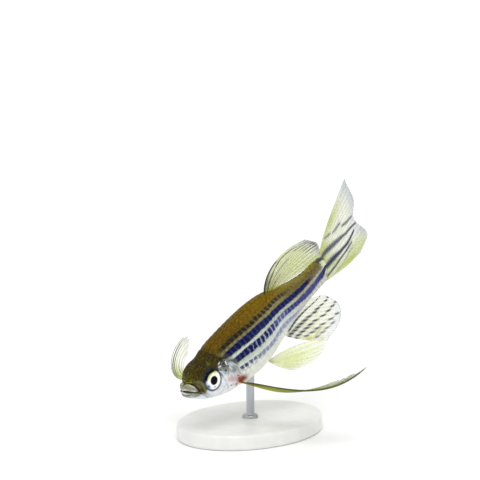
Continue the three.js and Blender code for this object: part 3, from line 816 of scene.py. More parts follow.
@dataclass(frozen=True)
class BodyPaint:
    """The colours of the flank and head, laid by the attributes that skin and scales both carry."""

    front: Stops = (
        (0, (98, 76, 8)), (0.5, (98, 70, 0)), (0.95, (90, 68, 6)), (2.0, (106, 96, 48)),
        (2.5, (128, 120, 84)), (3.0, (112, 108, 84)), (3.9, (164, 174, 160)), (4.5, (204, 213, 202)),
        (5.1, (194, 204, 192)), (6.2, (190, 199, 184)), (7.0, (222, 229, 220)), (8.1, (244, 247, 239)),
        (8.6, (253, 254, 248)), (9.0, (254, 254, 252)))
    middle: Stops = (
        (0, (114, 90, 2)), (0.55, (110, 84, 2)), (0.95, (116, 92, 22)), (2.0, (132, 122, 80)),
        (2.5, (144, 134, 92)), (3.0, (126, 118, 76)), (3.9, (156, 164, 148)), (4.5, (196, 202, 182)),
        (5.1, (176, 184, 178)), (6.2, (204, 212, 206)), (7.0, (226, 230, 226)), (7.5, (218, 222, 226)),
        (8.2, (230, 232, 222)), (9.0, (244, 245, 240)))
    rear: Stops = (
        (0, (134, 130, 66)), (0.6, (130, 118, 50)), (2.0, (104, 92, 52)), (2.6, (108, 96, 56)),
        (3.4, (112, 100, 72)), (4.0, (128, 122, 102)), (4.5, (172, 168, 145)), (5.0, (152, 150, 130)),
        (6.0, (186, 186, 178)), (6.6, (198, 200, 192)), (7.6, (197, 199, 191)), (9.0, (198, 199, 193)))
    stalk: Stops = (
        (0, (140, 146, 84)), (0.6, (104, 110, 84)), (1.1, (64, 72, 86)), (1.9, (58, 66, 88)),
        (2.3, (116, 122, 112)), (2.6, (204, 206, 170)), (4.5, (222, 226, 198)), (5.2, (196, 202, 176)),
        (6.0, (204, 212, 172)), (6.35, (196, 202, 152)), (6.5, (100, 104, 66)), (6.7, (150, 156, 106)),
        (6.9, (214, 220, 190)), (9.0, (206, 210, 186)))
    stripe: Stops = (
        (0.0, (26, 30, 18)), (0.1, (34, 36, 34)), (0.17, (60, 54, 40)), (0.26, (96, 84, 52)),
        (0.3, (66, 58, 60)), (0.38, (0, 4, 52)), (0.44, (12, 24, 82)), (0.52, (6, 18, 74)),
        (0.58, (46, 50, 112)), (0.62, (66, 68, 124)), (0.66, (96, 108, 150)), (0.74, (88, 99, 106)),
        (0.84, (134, 142, 164)), (0.94, (150, 154, 178)))
    face: Stops = (
        (0.0, (72, 68, 2)), (0.35, (64, 55, 0)), (0.75, (60, 52, 2)), (0.96, (74, 70, 36)),
        (1.04, (140, 146, 130)), (1.14, (206, 212, 214)), (1.5, (226, 230, 236)), (1.9, (236, 238, 246)),
        (2.4, (240, 241, 242)), (3.0, (246, 247, 244)))
    # the brown and dark tints also serve as painted shade along creases and round the eyes, and the glint as
    # painted highlights
    tints: tuple[tuple[Tint, Colour], ...] = (
        (Tint.OLIVE, (112, 112, 74)), (Tint.LIP, (156, 156, 138)), (Tint.GREY, (112, 120, 114)),
        (Tint.LIME, (146, 152, 62)), (Tint.PINK, (204, 168, 158)), (Tint.BROWN, (50, 40, 12)),
        (Tint.NAVY, (18, 34, 62)), (Tint.RED, (160, 70, 46)), (Tint.GLINT, (240, 242, 244)),
        (Tint.DARK, (14, 14, 20)))
    haze: Colour = (150, 164, 200)
    speck: Colour = (34, 62, 142)
    seam: Colour = (58, 62, 38)
    cool_fleck: Colour = (186, 194, 212)
    warm_fleck: Colour = (222, 228, 200)
    blotch: Colour = (30, 24, 2)
    # painted sheen: the pale golden colour of the sheen spots laid on the back
    light: Colour = (150, 138, 50)
    bar_edge: float = 0.1

    def ground(self, graph: Graph, lane: Feed, brink: Feed) -> Socket:
        """The colour under the stripes: bands by lane, which change from front to rear and tail stalk.

        Args:
            graph: The material's nodes.
            lane: The lane number.
            brink: Millimetres behind the line where the body's colour ends.
        Returns:
            The colour.
        """
        front, middle, rear, stalk = (
            graph.ramp(lane, stops, LANES) for stops in (self.front, self.middle, self.rear, self.stalk))
        along = graph.fact("along")
        ahead = graph.mix(graph.within(along, 0.28, 0.5), front, middle)
        body = graph.mix(graph.within(along, 0.53, 0.77), ahead, rear)
        return graph.mix(graph.within(brink, -0.35, 0.2), body, stalk)

    def inked(self, graph: Graph, lane: Feed) -> tuple[Socket, Socket]:
        """How strong the stripes are, first whole and then broken into dashes.

        A stripe thins to nearly bare ground at the joints between its dashes, where the beat is whole.

        Args:
            graph: The material's nodes.
            lane: The lane number.
        Returns:
            The two strengths.
        """
        bars = [(0.0, 0)]
        for first in range(1, LANES - 1, 2):
            for turn, value in ((first, 0), (first + 1, 255)):
                bars += [(turn - self.bar_edge, value), (turn + self.bar_edge, 255 - value)]
        shown = graph.ramp(lane, tuple((place, (v, v, v)) for place, v in bars), LANES)
        whole = graph.times(shown, graph.fact("force"))
        beat = graph.scaled(graph.noise(0.55, detail=3.0), 0.9, graph.fact("beat"))
        gap = graph.within(graph.sum("PINGPONG", beat, 0.5), 0.25, 0.05)
        left = graph.sum("SUBTRACT", 1.0, graph.times(gap, graph.fact("dash")))
        return whole, graph.times(whole, left)

    def striped(self, graph: Graph, lane: Feed, ground: Feed, whole: Feed, inked: Feed) -> Socket:
        """The stripes on their ground, hazy between the dashes and specked with blue.

        Args:
            graph: The material's nodes.
            lane: The lane number.
            ground: The colour under the stripes.
            whole: The strength of whole stripes.
            inked: The strength of their dashes.
        Returns:
            The colour.
        """
        hazy = graph.times(whole, graph.within(lane, 0.5, 0.55, 0.0, 0.55))
        ground = graph.mix(hazy, ground, colour(*self.haze))
        tone = graph.sum("ADD", graph.fact("tone"), graph.drift(0.45, 0.12))
        body = graph.mix(inked, ground, graph.ramp(tone, self.stripe))
        specks = graph.spots(graph.noise(0.22, detail=3.0), 0.52, 0.7, 0.45, inked)
        specks = graph.times(specks, graph.within(lane, 0.3, 0.34))
        return graph.mix(specks, body, colour(*self.speck))

    def faced(self, graph: Graph, body: Feed) -> Socket:
        """The head's colour from crown to throat over the body's, and on it the small marks, frayed.

        Args:
            graph: The material's nodes.
            body: The body's colour.
        Returns:
            The colour.
        """
        face = graph.sum("ADD", graph.fact("face"), graph.drift(0.3, 0.14, 3.0))
        shown = graph.mix(graph.fact("head"), body, graph.ramp(face, self.face, 3))
        frayed = graph.within(graph.noise(0.16, detail=3.0), 0.25, 0.6, 0.5, 1.15)
        for tint, shade in self.tints:
            share = graph.times(graph.fact(tint.value), frayed)
            shown = graph.mix(share, shown, colour(*shade))
        return shown

    def flecked(self, graph: Graph, lane: Feed, inked: Feed, shown: Feed) -> Socket:
        """Cool and warm flecks on the cheek, and dark blotches and spots of painted sheen on the back.

        Args:
            graph: The material's nodes.
            lane: The lane number.
            inked: The strength of the dashes, which stay clear.
            shown: The colour so far.
        Returns:
            The colour.
        """
        cheek = graph.times(graph.fact("head"), graph.within(graph.fact("face"), 0.36, 0.42))
        flecks = graph.spots(graph.noise(0.16, (1.6, 1.0, 1.0), 4.0), 0.5, 0.66, 0.42, cheek)
        shown = graph.mix(flecks, shown, colour(*self.cool_fleck))
        flecks = graph.spots(graph.noise(0.2, (1.0, 1.5, 1.2), 4.0), 0.54, 0.7, 0.4, cheek)
        shown = graph.mix(flecks, shown, colour(*self.warm_fleck))
        back = graph.sum("SUBTRACT", graph.within(lane, 0.36, 0.44, 1.0, 0.0), inked)
        blotches = graph.spots(graph.noise(0.42, detail=4.0), 0.48, 0.66, 0.55, back)
        shown = graph.mix(blotches, shown, graph.mix(0.6, shown, colour(*self.blotch)))
        # spots of painted sheen on the back, clear of the stripes' dashes
        lights = graph.spots(graph.noise(0.33, (1.3, 1.3, 1.3), 4.0), 0.54, 0.72, 0.35, back)
        return graph.mix(lights, shown, colour(*self.light))

    def paint(self, graph: Graph) -> Socket:
        """The painted colour: bands, stripes over them, the line where the body ends, the head, and flecks.

        Args:
            graph: The material's nodes.
        Returns:
            The colour.
        """
        lane = graph.sum("ADD", graph.fact("lane"), graph.drift(0.6, 0.05, 3.0))
        brink = graph.sum("ADD", graph.fact("brink"), graph.drift(0.4, 0.3))
        whole, inked = self.inked(graph, lane)
        body = self.striped(graph, lane, self.ground(graph, lane, brink), whole, inked)
        seam = graph.within(graph.sum("ABSOLUTE", brink), 0.04, 0.18, 0.5, 0.0)
        seam = graph.times(seam, graph.within(lane, 0.5, 0.66, 1.0, 0.0))
        body = graph.mix(seam, body, colour(*self.seam))
        shown = self.flecked(graph, lane, inked, self.faced(graph, body))
        return graph.greyed(0.35, shown, graph.scaled(graph.noise(0.2, detail=3.0), 0.4, 0.82))


@dataclass(frozen=True)
class SkinFinish:
    """Painted, faintly pored skin with a satin gloss."""

    paint: BodyPaint
    roughness: float = 0.42
    shine: float = 0.05

    def build(self) -> Material:
        """Makes the skin's material.

        Returns:
            The material.
        """
        graph = Graph("skin_paint")
        shade = self.paint.paint(graph)
        grain = graph.scaled(graph.noise(0.09, detail=3.0), 0.5, graph.noise(0.4))
        rough = graph.within(graph.noise(0.3), 0.3, 0.7, self.roughness - 0.08, self.roughness + 0.1)
        return graph.finish({"Base Color": shade, "Roughness": rough, "Specular IOR Level": self.shine,
                             "Normal": graph.bump(grain, 0.02, 0.7), "Subsurface Weight": 0.08,
                             "Subsurface Radius": (0.6, 0.5, 0.4), "Subsurface Scale": 0.0004})


@dataclass(frozen=True)
class ScaleFinish:
    """Painted scales: a faintly darker rim, fine growth rings and a pearly gloss."""

    paint: BodyPaint
    roughness: float = 0.36
    shine: float = 0.05
    rim: Colour = (44, 38, 14)
    ring_count: float = 60.0
    crosswise_share: float = 0.55

    def build(self) -> Material:
        """Makes the scales' material.

        Returns:
            The material.
        """
        graph = Graph("scale_paint")
        tip, cross = graph.fact("tipward"), graph.fact("crosswise")
        crosswise = graph.times(graph.times(cross, cross), self.crosswise_share)
        out = graph.sum("SQRT", graph.sum("ADD", graph.times(tip, tip), crosswise))
        rim = graph.within(out, 0.7, 0.98)
        shade = self.paint.paint(graph)
        back = graph.within(graph.fact("lane"), 0.3, 0.6, 0.14, 0.03)
        shade = graph.mix(graph.times(rim, back), shade, colour(*self.rim))
        shade = graph.greyed(0.6, shade, graph.scaled(graph.fact("seed"), 0.16, 0.92))
        rings = graph.sum("SINE", graph.times(out, self.ring_count))
        grain = graph.scaled(rings, 0.2, graph.noise(0.08, detail=3.0))
        rough = graph.within(graph.noise(0.35), 0.3, 0.7, self.roughness - 0.08, self.roughness + 0.1)
        return graph.finish({"Base Color": shade, "Roughness": rough, "Specular IOR Level": self.shine,
                             "Normal": graph.bump(grain, 0.012, 0.6)})


@dataclass(frozen=True)
class EyeFinish:
    """A black pupil in a silvery iris with a dark upper crescent, under a clear glossy front."""

    radial: Stops = (
        (0.0, (0, 0, 2)), (0.385, (1, 1, 3)), (0.415, (70, 72, 70)), (0.44, (232, 236, 230)),
        (0.52, (253, 254, 252)), (0.78, (250, 252, 252)), (0.85, (220, 228, 230)), (0.89, (96, 104, 106)),
        (0.93, (30, 34, 34)), (1.0, (26, 28, 26)))
    night: Colour = (6, 10, 22)
    gold: Colour = (196, 208, 66)
    sky: Colour = (44, 84, 160)
    teal: Colour = (120, 150, 152)
    fibre: Colour = (196, 206, 212)

    def build(self) -> Material:
        """Makes the eye's material.

        Returns:
            The material.
        """
        graph = Graph("eye_paint")
        out = graph.fact("outward")
        shade = graph.ramp(out, self.radial)
        iris = graph.within(out, 0.4, 0.44)
        fibres = graph.spots(graph.noise(0.12, detail=4.0), 0.4, 0.75, 0.25, iris)
        shade = graph.mix(fibres, shade, colour(*self.fibre))
        for name in ("teal", "gold", "sky", "night"):
            hue = colour(*getattr(self, name))
            shade = graph.mix(graph.times(graph.fact(name), iris), shade, hue)
        normal = graph.bump(graph.noise(0.1, detail=3.0), 0.02, 0.5)
        return graph.finish({"Base Color": shade, "Roughness": 0.3, "Specular IOR Level": 0.04,
                             "Normal": normal, "Coat Weight": 0.08, "Coat Roughness": 0.03})


@dataclass(frozen=True)
class FinFinish:
    """A thin see-through membrane with rays, coloured from root to tip, with yellow, grey and ink marks."""

    name: str
    root: Colour
    middle: Colour
    tip: Colour
    yellow: Colour = (206, 212, 112)
    dusk: Colour = (150, 154, 150)
    ink: Colour = (22, 26, 52)
    ray_shade: Colour = (150, 156, 100)
    ray_share: float = 0.3
    thin: float = 0.62
    thin_tip: float = 0.62
    solid: float = 0.95

    def build(self) -> Material:
        """Makes the fin's material, whose alpha is least on bare membrane.

        Returns:
            The material.
        """
        graph = Graph(self.name)
        out, ray, ink = graph.fact("outward"), graph.fact("ray"), graph.fact("ink")
        shade = graph.ramp(out, ((0.0, self.root), (0.12, self.root), (0.4, self.middle), (0.75, self.middle),
                                 (1.0, self.tip)))
        shade = graph.mix(graph.fact("yellow"), shade, colour(*self.yellow))
        shade = graph.mix(graph.fact("dusk"), shade, colour(*self.dusk))
        shade = graph.mix(graph.times(ray, self.ray_share), shade, colour(*self.ray_shade))
        shade = graph.greyed(0.8, shade, graph.within(graph.noise(0.5, detail=3.0), 0.3, 0.7, 0.86, 1.06))
        shade = graph.mix(ink, shade, colour(*self.ink))
        body = ink
        for fact, most in (("ray", 0.45), ("yellow", 0.6), ("dusk", 0.5)):
            body = graph.sum("MAXIMUM", graph.times(graph.fact(fact), most), body)
        body = graph.sum("MAXIMUM", body, graph.within(out, 0.0, 0.14, 1.0, 0.0))
        bare = graph.within(out, 0.35, 0.8, self.thin, self.thin_tip)
        alpha = graph.scaled(body, graph.sum("SUBTRACT", self.solid, bare), bare)
        rough = graph.within(graph.noise(0.4), 0.3, 0.7, 0.34, 0.5)
        normal = graph.bump(graph.noise(0.15, detail=3.0), 0.015, 0.6)
        return graph.finish({"Base Color": shade, "Roughness": rough, "Alpha": alpha, "Normal": normal,
                             "Specular IOR Level": 0.2})


@dataclass(frozen=True)
class FeelerFinish:
    """Pale, faintly mottled feelers, darker at the root."""

    root: Colour = (84, 78, 48)
    middle: Colour = (186, 190, 186)
    tip: Colour = (232, 234, 232)
    mottle: Colour = (140, 140, 120)

    def build(self) -> Material:
        """Makes the feelers' material.

        Returns:
            The material.
        """
        graph = Graph("feeler_paint")
        shade = graph.ramp(graph.fact("outward"), ((0.0, self.root), (0.25, self.middle), (1.0, self.tip)))
        shade = graph.mix(graph.within(graph.noise(0.2), 0.45, 0.7, 0.0, 0.2), shade, colour(*self.mottle))
        return graph.finish({"Base Color": shade, "Roughness": 0.4, "Specular IOR Level": 0.1,
                             "Normal": graph.bump(graph.noise(0.1), 0.01, 0.5)})


@dataclass(frozen=True)
class StandFinish:
    """The stand's satin lacquer or brushed metal, faintly clouded."""

    name: str
    shade: Colour
    cloud: Colour
    metallic: float
    roughness: float
    stretch: Colour = (1, 1, 1)

    def build(self) -> Material:
        """Makes the stand's material.

        Returns:
            The material.
        """
        graph = Graph(self.name)
        drift = graph.within(graph.noise(1.6, self.stretch, 3.0), 0.3, 0.7)
        shade = graph.mix(drift, colour(*self.shade), colour(*self.cloud))
        noise = graph.noise(0.5, self.stretch)
        rough = graph.within(noise, 0.3, 0.7, self.roughness - 0.06, self.roughness + 0.08)
        normal = graph.bump(graph.noise(0.12, self.stretch, 3.0), 0.01, 0.4)
        return graph.finish({"Base Color": shade, "Metallic": self.metallic, "Roughness": rough,
                             "Specular IOR Level": 0.4, "Normal": normal})


# Skin

@dataclass(frozen=True)
class Furrow:
    """A groove or, with a depth below nought, a ridge along a path of (along, girth)."""

    path: Stations
    width: float
    depth: float
    shoulder: float = 0.0
    fade: float = 0.15

    def sink(self, form: BodyForm, points: Array) -> Array:
        """How far the skin goes in: a bell across the path, less a bell for the swelling beside it.

        Args:
            form: The body's surface.
            points: Points of the skin.
        Returns:
            Millimetres inwards.
        """
        gap, share = distance_to(points, form.marked(self.path))
        ends = smooth(np.minimum(share, 1 - share), 0, self.fade) if self.fade else 1.0
        beside = self.shoulder * bell(gap - 2 * self.width, self.width)
        return (self.depth * bell(gap, self.width) - beside) * ends


@dataclass(frozen=True)
class Orbit:
    """Where an eye sits in the head: its middle, radius, flatness, and turn towards the front and up."""

    along: float = 4.0
    aside: float = 2.17
    level: float = -0.12
    radius: float = 1.5
    flatness: float = 0.27
    turn: float = 2.5
    tilt: float = 8.5

    def axes(self, side: float) -> tuple[Array, Array, Array, Array]:
        """The eye's middle, and unit vectors outwards, forwards and upwards.

        Args:
            side: -1 for the left side and 1 for the right.
        Returns:
            The four vectors.
        """
        a, b = math.radians(self.turn), math.radians(self.tilt)
        middle = np.array([self.along, side * self.aside, self.level])
        flat = np.array([-math.sin(a), side * math.cos(a), 0.0])
        forwards = np.array([-math.cos(a), -side * math.sin(a), 0.0])
        up = np.array([0.0, 0.0, 1.0])
        outwards = flat * math.cos(b) + up * math.sin(b)
        return middle, outwards, forwards, up * math.cos(b) - flat * math.sin(b)


@dataclass(frozen=True)
class Skin:
    """One closed skin over head, jaw, gill covers, trunk and tail stalk, drawn in under the scales."""

    form: BodyForm
    orbit: Orbit
    flank: FlankMarks
    head: HeadMarks
    head_rows: int = 186
    body_rows: int = 130
    round_count: int = 300
    head_length: float = 9.4
    inset: float = 0.12
    cover_rise: float = 0.13
    lid_reach: float = 0.95
    eye_reach: float = 8.0
    measured_at: float = 225.0
    measure_count: int = 6000
    furrows: tuple[Furrow, ...] = (
        Furrow(((0.0, 58), (0.14, 66), (0.35, 80), (0.6, 88), (1.02, 93), (1.5, 96)), 0.085, 0.32, 0.05,
            0.0),
        Furrow(((0.35, 0), (0.5, 25), (0.72, 48), (1.0, 66), (1.25, 80), (1.5, 88)), 0.27, -0.12, 0.0, 0.0),
        Furrow(((0.5, 0), (0.84, 3), (1.06, 17), (1.2, 38), (1.38, 59), (1.52, 74), (1.64, 86), (1.8, 97),
            (2.0, 108)), 0.09, 0.18, 0.02, 0.06),
        Furrow(((1.1, 0), (1.46, 16.5), (1.64, 43.5), (1.92, 68), (2.0, 83), (2.2, 103)), 0.09, 0.07, 0.02,
            0.1),
        Furrow(((1.25, 0), (1.6, 18), (1.8, 38)), 0.42, 0.2, 0.0, 0.0),
        Furrow(((0.18, 180), (0.3, 140), (0.5, 116), (0.95, 108), (1.45, 107)), 0.18, -0.09, 0.0, 0.0),
        Furrow(((0.55, 180), (0.62, 142), (0.95, 122), (1.45, 120), (1.9, 120)), 0.1, 0.07, 0.02, 0.0),
        Furrow(((2.2, 118), (2.9, 131), (3.9, 141), (5.0, 140)), 0.1, 0.05, 0.02, 0.2),
        Furrow(((2.0, 44), (1.95, 42)), 0.17, 0.2, 0.06, 0.0),
        Furrow(((1.62, 36), (1.58, 35)), 0.11, 0.12, 0.05, 0.0),
        Furrow(((5.9, 0), (6.1, 15), (6.3, 30), (6.45, 46)), 0.12, 0.07, 0.02, 0.0),
        Furrow(((5.2, 66), (6.0, 70), (6.9, 72)), 0.1, 0.05, 0.02, 0.2),
        Furrow(((7.0, 98), (7.15, 108), (7.2, 120), (7.0, 130)), 0.1, 0.05, 0.03, 0.2),
        Furrow(((7.6, 96), (7.75, 108), (7.8, 122), (7.6, 134)), 0.1, 0.05, 0.03, 0.2),
        Furrow(((8.15, 97), (8.3, 108), (8.3, 120)), 0.09, 0.04, 0.02, 0.2),
        Furrow(((5.2, 146), (6.2, 144), (7.3, 147)), 0.09, 0.06, 0.02, 0.2),
        Furrow(((5.2, 156), (6.2, 154), (7.2, 157)), 0.09, 0.06, 0.02, 0.2),
        Furrow(((5.2, 166), (6.0, 165), (6.9, 168)), 0.09, 0.05, 0.02, 0.2),
    )
    cheek_line: Stations = ((5.75, 1.2), (5.75, 0.2), (5.5, -1.0), (4.7, -1.95), (3.6, -2.4))

    def rows(self) -> Array:
        """Places of the rows: even in distance along the side, first over the head and then over the body.

        Returns:
            Millimetres from the snout.
        """
        places = []
        for first, last, count in ((0.0, self.head_length, self.head_rows + 1),
                                   (self.head_length, self.form.tail_end, self.body_rows + 1)):
            dense = first + (last - first) * (1 - np.cos(np.linspace(0, np.pi, self.measure_count))) / 2
            run = travelled(self.form.point(dense, np.radians(self.measured_at)))
            places.append(np.interp(np.linspace(0, run[-1], count), run, dense)[1:])
        return np.concatenate(places)[:-1]

    def set_in_eye(self, points: Array, side: float) -> tuple[Array, Array]:
        """Points drawn to the eye, and the strength of a ring of painted shade round it, in the crease where
        skin meets eye.

        Within the eye's rim they sink behind it, and round it they settle to the rim's level.

        Args:
            points: Points of the skin on one side.
            The moved points and the strength of the ring of painted shade.
        Returns:
            The moved points and the ring's strength.
        """
        middle, outwards, forwards, upwards = self.orbit.axes(side)
        offset = points - middle
        out, ahead, over = offset @ outwards, offset @ forwards, offset @ upwards
        gap = np.hypot(ahead, over)
        beside = out > -1.6
        rim = self.orbit.radius * self.orbit.flatness * 0.3
        pull = (1 - smooth(gap, self.orbit.radius, self.orbit.radius + self.lid_reach)) * beside
        risen = out + (rim - out) * pull
        risen += 0.025 * bell(gap - self.orbit.radius - 0.06, 0.08) * beside
        sunk = np.minimum(risen, -0.25)
        inside = 1 - smooth(gap, self.orbit.radius - 0.1, self.orbit.radius + 0.01)
        target = risen * (1 - inside * beside) + sunk * inside * beside
        # a ring of painted shade in the crease where the skin meets the eye
        ring = 0.75 * bell(gap - self.orbit.radius - 0.02, 0.085) * beside
        return points + (target - out)[..., None] * outwards, ring

    def build(self, pose: Pose, material: Material) -> Piece:
        """Builds the skin: the body's surface plus its relief, with the markings as point attributes.

        Args:
            pose: How the fish is posed.
            material: The skin's finish.
        Returns:
            The skin.
        """
        places = self.rows()
        angles = circle(self.round_count)
        along, angle = (a.ravel() for a in np.meshgrid(places, angles, indexing="ij"))
        girth = self.form.girth(angle)
        base = self.form.point(along, angle)
        outward = self.form.outward(along, angle)
        behind = behind_gill(base)
        sink = self.inset * smooth(behind, -0.02, 0.1) * (1 - smooth(along, 32.4, 33.2))
        window = smooth(girth, 46, 62) * (1 - smooth(girth, 138, 158))
        cover = smooth(behind, -2.4, -0.2) * (1 - smooth(behind, -0.1, 0.02))
        sink -= self.cover_rise * cover * window
        near = np.flatnonzero(along < self.head.reach_back)
        for furrow in self.furrows:
            sink[near] += furrow.sink(self.form, base[near])
        line = tuple((place, self.form.girth_at(place, level)) for place, level in self.cheek_line)
        sink[near] += Furrow(line, 0.12, 0.07, 0.03).sink(self.form, base[near])
        points = base - outward * sink[:, None]
        facts = self.flank.lanes(along, girth) | self.head.attributes(self.form, along, girth, base)
        for side in (-1.0, 1.0):
            mine = np.flatnonzero((along < self.eye_reach) & (base[:, 1] * side > 0))
            points[mine], ring = self.set_in_eye(points[mine], side)
            # the ring of painted shade round the eye joins the dark marks
            facts[Tint.DARK.value][mine] = np.maximum(facts[Tint.DARK.value][mine], ring)
        facts["along"] = along / pose.length
        rings = points.reshape(len(places), len(angles), 3)
        nose, tail = self.form.point(0.0, 0.0), self.form.point(self.form.tail_end, 0.0)
        shaped = {k: v.reshape(len(places), len(angles)) for k, v in facts.items()}
        return Shape.tube(rings, shaped, (nose, tail)).faced_out().build("skin", pose, material)


# Scales

@dataclass(frozen=True)
class ScaleCoat:
    """Overlapping scales in staggered rows, each a thin closed leaf with a round free edge."""

    form: BodyForm
    flank: FlankMarks
    head: HeadMarks
    rows_a_side: int = 12
    first: float = 5.6
    last: float = 32.4
    spacing: float = 0.93
    length: float = 1.62
    spread: float = 0.8
    root_depth: float = 0.1
    tip_height: float = -0.03
    thickness: float = 0.022
    patch: float = 0.003
    map_length: float = 36.0
    margin: float = 0.02
    shares: tuple[float, ...] = (0.0, 0.14, 0.38, 0.64, 0.86, 1.0)
    sides: tuple[float, ...] = (-1.0, -0.5, 0.0, 0.5, 1.0)

    def roots(self, side: float) -> tuple[Array, Array, Array, Array]:
        """Where the scales of one side stand.

        Rows part the way from back to belly evenly, but towards the tail the outermost rows close up. The
        angle of a share of that way is read back from the summed length of the section's outline.

        Args:
            side: -1 for the left side and 1 for the right.
        Returns:
            Place along, angle, half width in radians, and share of the way down, for every scale.
        """
        turns = np.linspace(np.pi / 2, np.pi / 2 - side * np.pi, 361)
        found: list[Array] = []
        for column in range(int((self.last - self.first) / self.spacing * 2) + 1):
            place = self.first + column * self.spacing / 2
            run = travelled(self.form.point(np.full_like(turns, place), turns))
            squeeze = 0.17 * float(smooth(place, 17.0, 27.0))
            rows = np.arange(column % 2, self.rows_a_side + 1, 2)
            edges = np.stack([rows - 0.5, rows, rows + 0.5]) / self.rows_a_side
            edges = (edges - squeeze) / (1 - 2 * squeeze)
            kept = (edges[1] > -0.01) & (edges[1] < 1.01)
            low, mid, high = np.interp(np.clip(edges[:, kept], -0.05, 1.05), run / run[-1], turns)
            wide = np.pi / self.rows_a_side / (1 - 2 * squeeze) / 2
            step = np.maximum(np.abs(high - low) / 2, wide * 0.35)
            found.append(np.stack([np.full(kept.sum(), place), mid, step, np.clip(edges[1, kept], 0, 1)]))
        along, angle, half, share = np.concatenate(found, axis=1)
        clear = behind_gill(self.form.point(along, angle)) > -0.05
        return along[clear], angle[clear], half[clear], share[clear]

    def leaves(self, side: float, seed: int) -> tuple[Shape, Array]:
        """All scales of one side as one shape, with their map.

        On each leaf p runs from root to tip and q from edge to edge. Its outline is a rounded oval, its tip
        is lifted over the next root, and its edges droop with the square of q.

        Args:
            side: -1 for the left side and 1 for the right.
            seed: Start of the random numbers.
        Returns:
            The shape, and each point's place on the unwrap.
        """
        along, angle, half, share = self.roots(side)
        count = len(along)
        chance = np.random.default_rng(seed)
        p, q = (a.ravel()[None] for a in np.meshgrid(self.shares, self.sides, indexing="ij"))
        taper = 1 - 0.25 * smooth(along, 24, 33)[:, None]
        width = np.maximum((1 - np.abs(2 * p - 0.95) ** 2.4), 0.12) ** (1 / 2.4)
        ahead = (p - 0.5) * self.length * taper - 0.2 * q**2 * p * self.length
        jitter = chance.normal(0, 0.02, (2, count, 1))
        at = along[:, None] + ahead + jitter[0]
        turned = angle[:, None] - side * half[:, None] * self.spread * 2 * (q * width + jitter[1])
        lift = -self.root_depth + (self.root_depth + self.tip_height) * p**0.8 - 0.028 * (q * width) ** 2
        places = self.form.point(at, turned)
        outward = self.form.outward(at, turned)
        upper = places + outward * lift[..., None]
        lower = upper - outward * self.thickness
        size = p.size
        leaf = Shape.leaf(len(self.shares), len(self.sides))
        quads = (leaf[None] + np.arange(count)[:, None, None] * size * 2).reshape(-1, 4)
        points = np.concatenate([upper, lower], axis=1).reshape(-1, 3)
        both = [np.concatenate([a, a], axis=1).ravel() for a in (at, turned)]
        girth = self.form.girth(both[1])
        facts = self.flank.lanes(both[0], girth)
        facts |= self.head.attributes(self.form, both[0], girth, self.form.point(both[0], both[1]))
        facts["head"] = np.zeros_like(girth)
        facts["along"] = both[0] / BODY_LENGTH
        facts["tipward"] = np.broadcast_to(np.concatenate([p, p], 1), (count, size * 2)).ravel()
        facts["crosswise"] = np.broadcast_to(np.concatenate([q, q], 1), (count, size * 2)).ravel()
        facts["seed"] = np.repeat(chance.random(count), size * 2)
        down = 0.25 + 0.23 * share * side
        across = self.margin + (1 - 3 * self.margin) * along / self.map_length
        centre = np.stack([across, 2 * down], 1)[:, None]
        flat = np.stack([p - 0.5, q / 4 - 0.25], -1) * self.patch
        flat = np.concatenate([flat, flat + (0, self.patch / 2)], 1)
        shape = Shape(points, quads, np.zeros((0, 3), int), facts)
        return shape.faced_out(), (centre + flat).reshape(-1, 2)

    def build(self, pose: Pose, material: Material) -> list[Piece]:
        """Builds the coat as one joined mesh for each side.

        Args:
            pose: How the fish is posed.
            material: The scales' finish.
        Returns:
            The two pieces.
        """
        pieces = []
        for name, side, seed in (("scales_left", -1.0, 11), ("scales_right", 1.0, 12)):
            shape, flat = self.leaves(side, seed)
            pieces.append(shape.build(name, pose, material, flat))
        return pieces


# Eyes

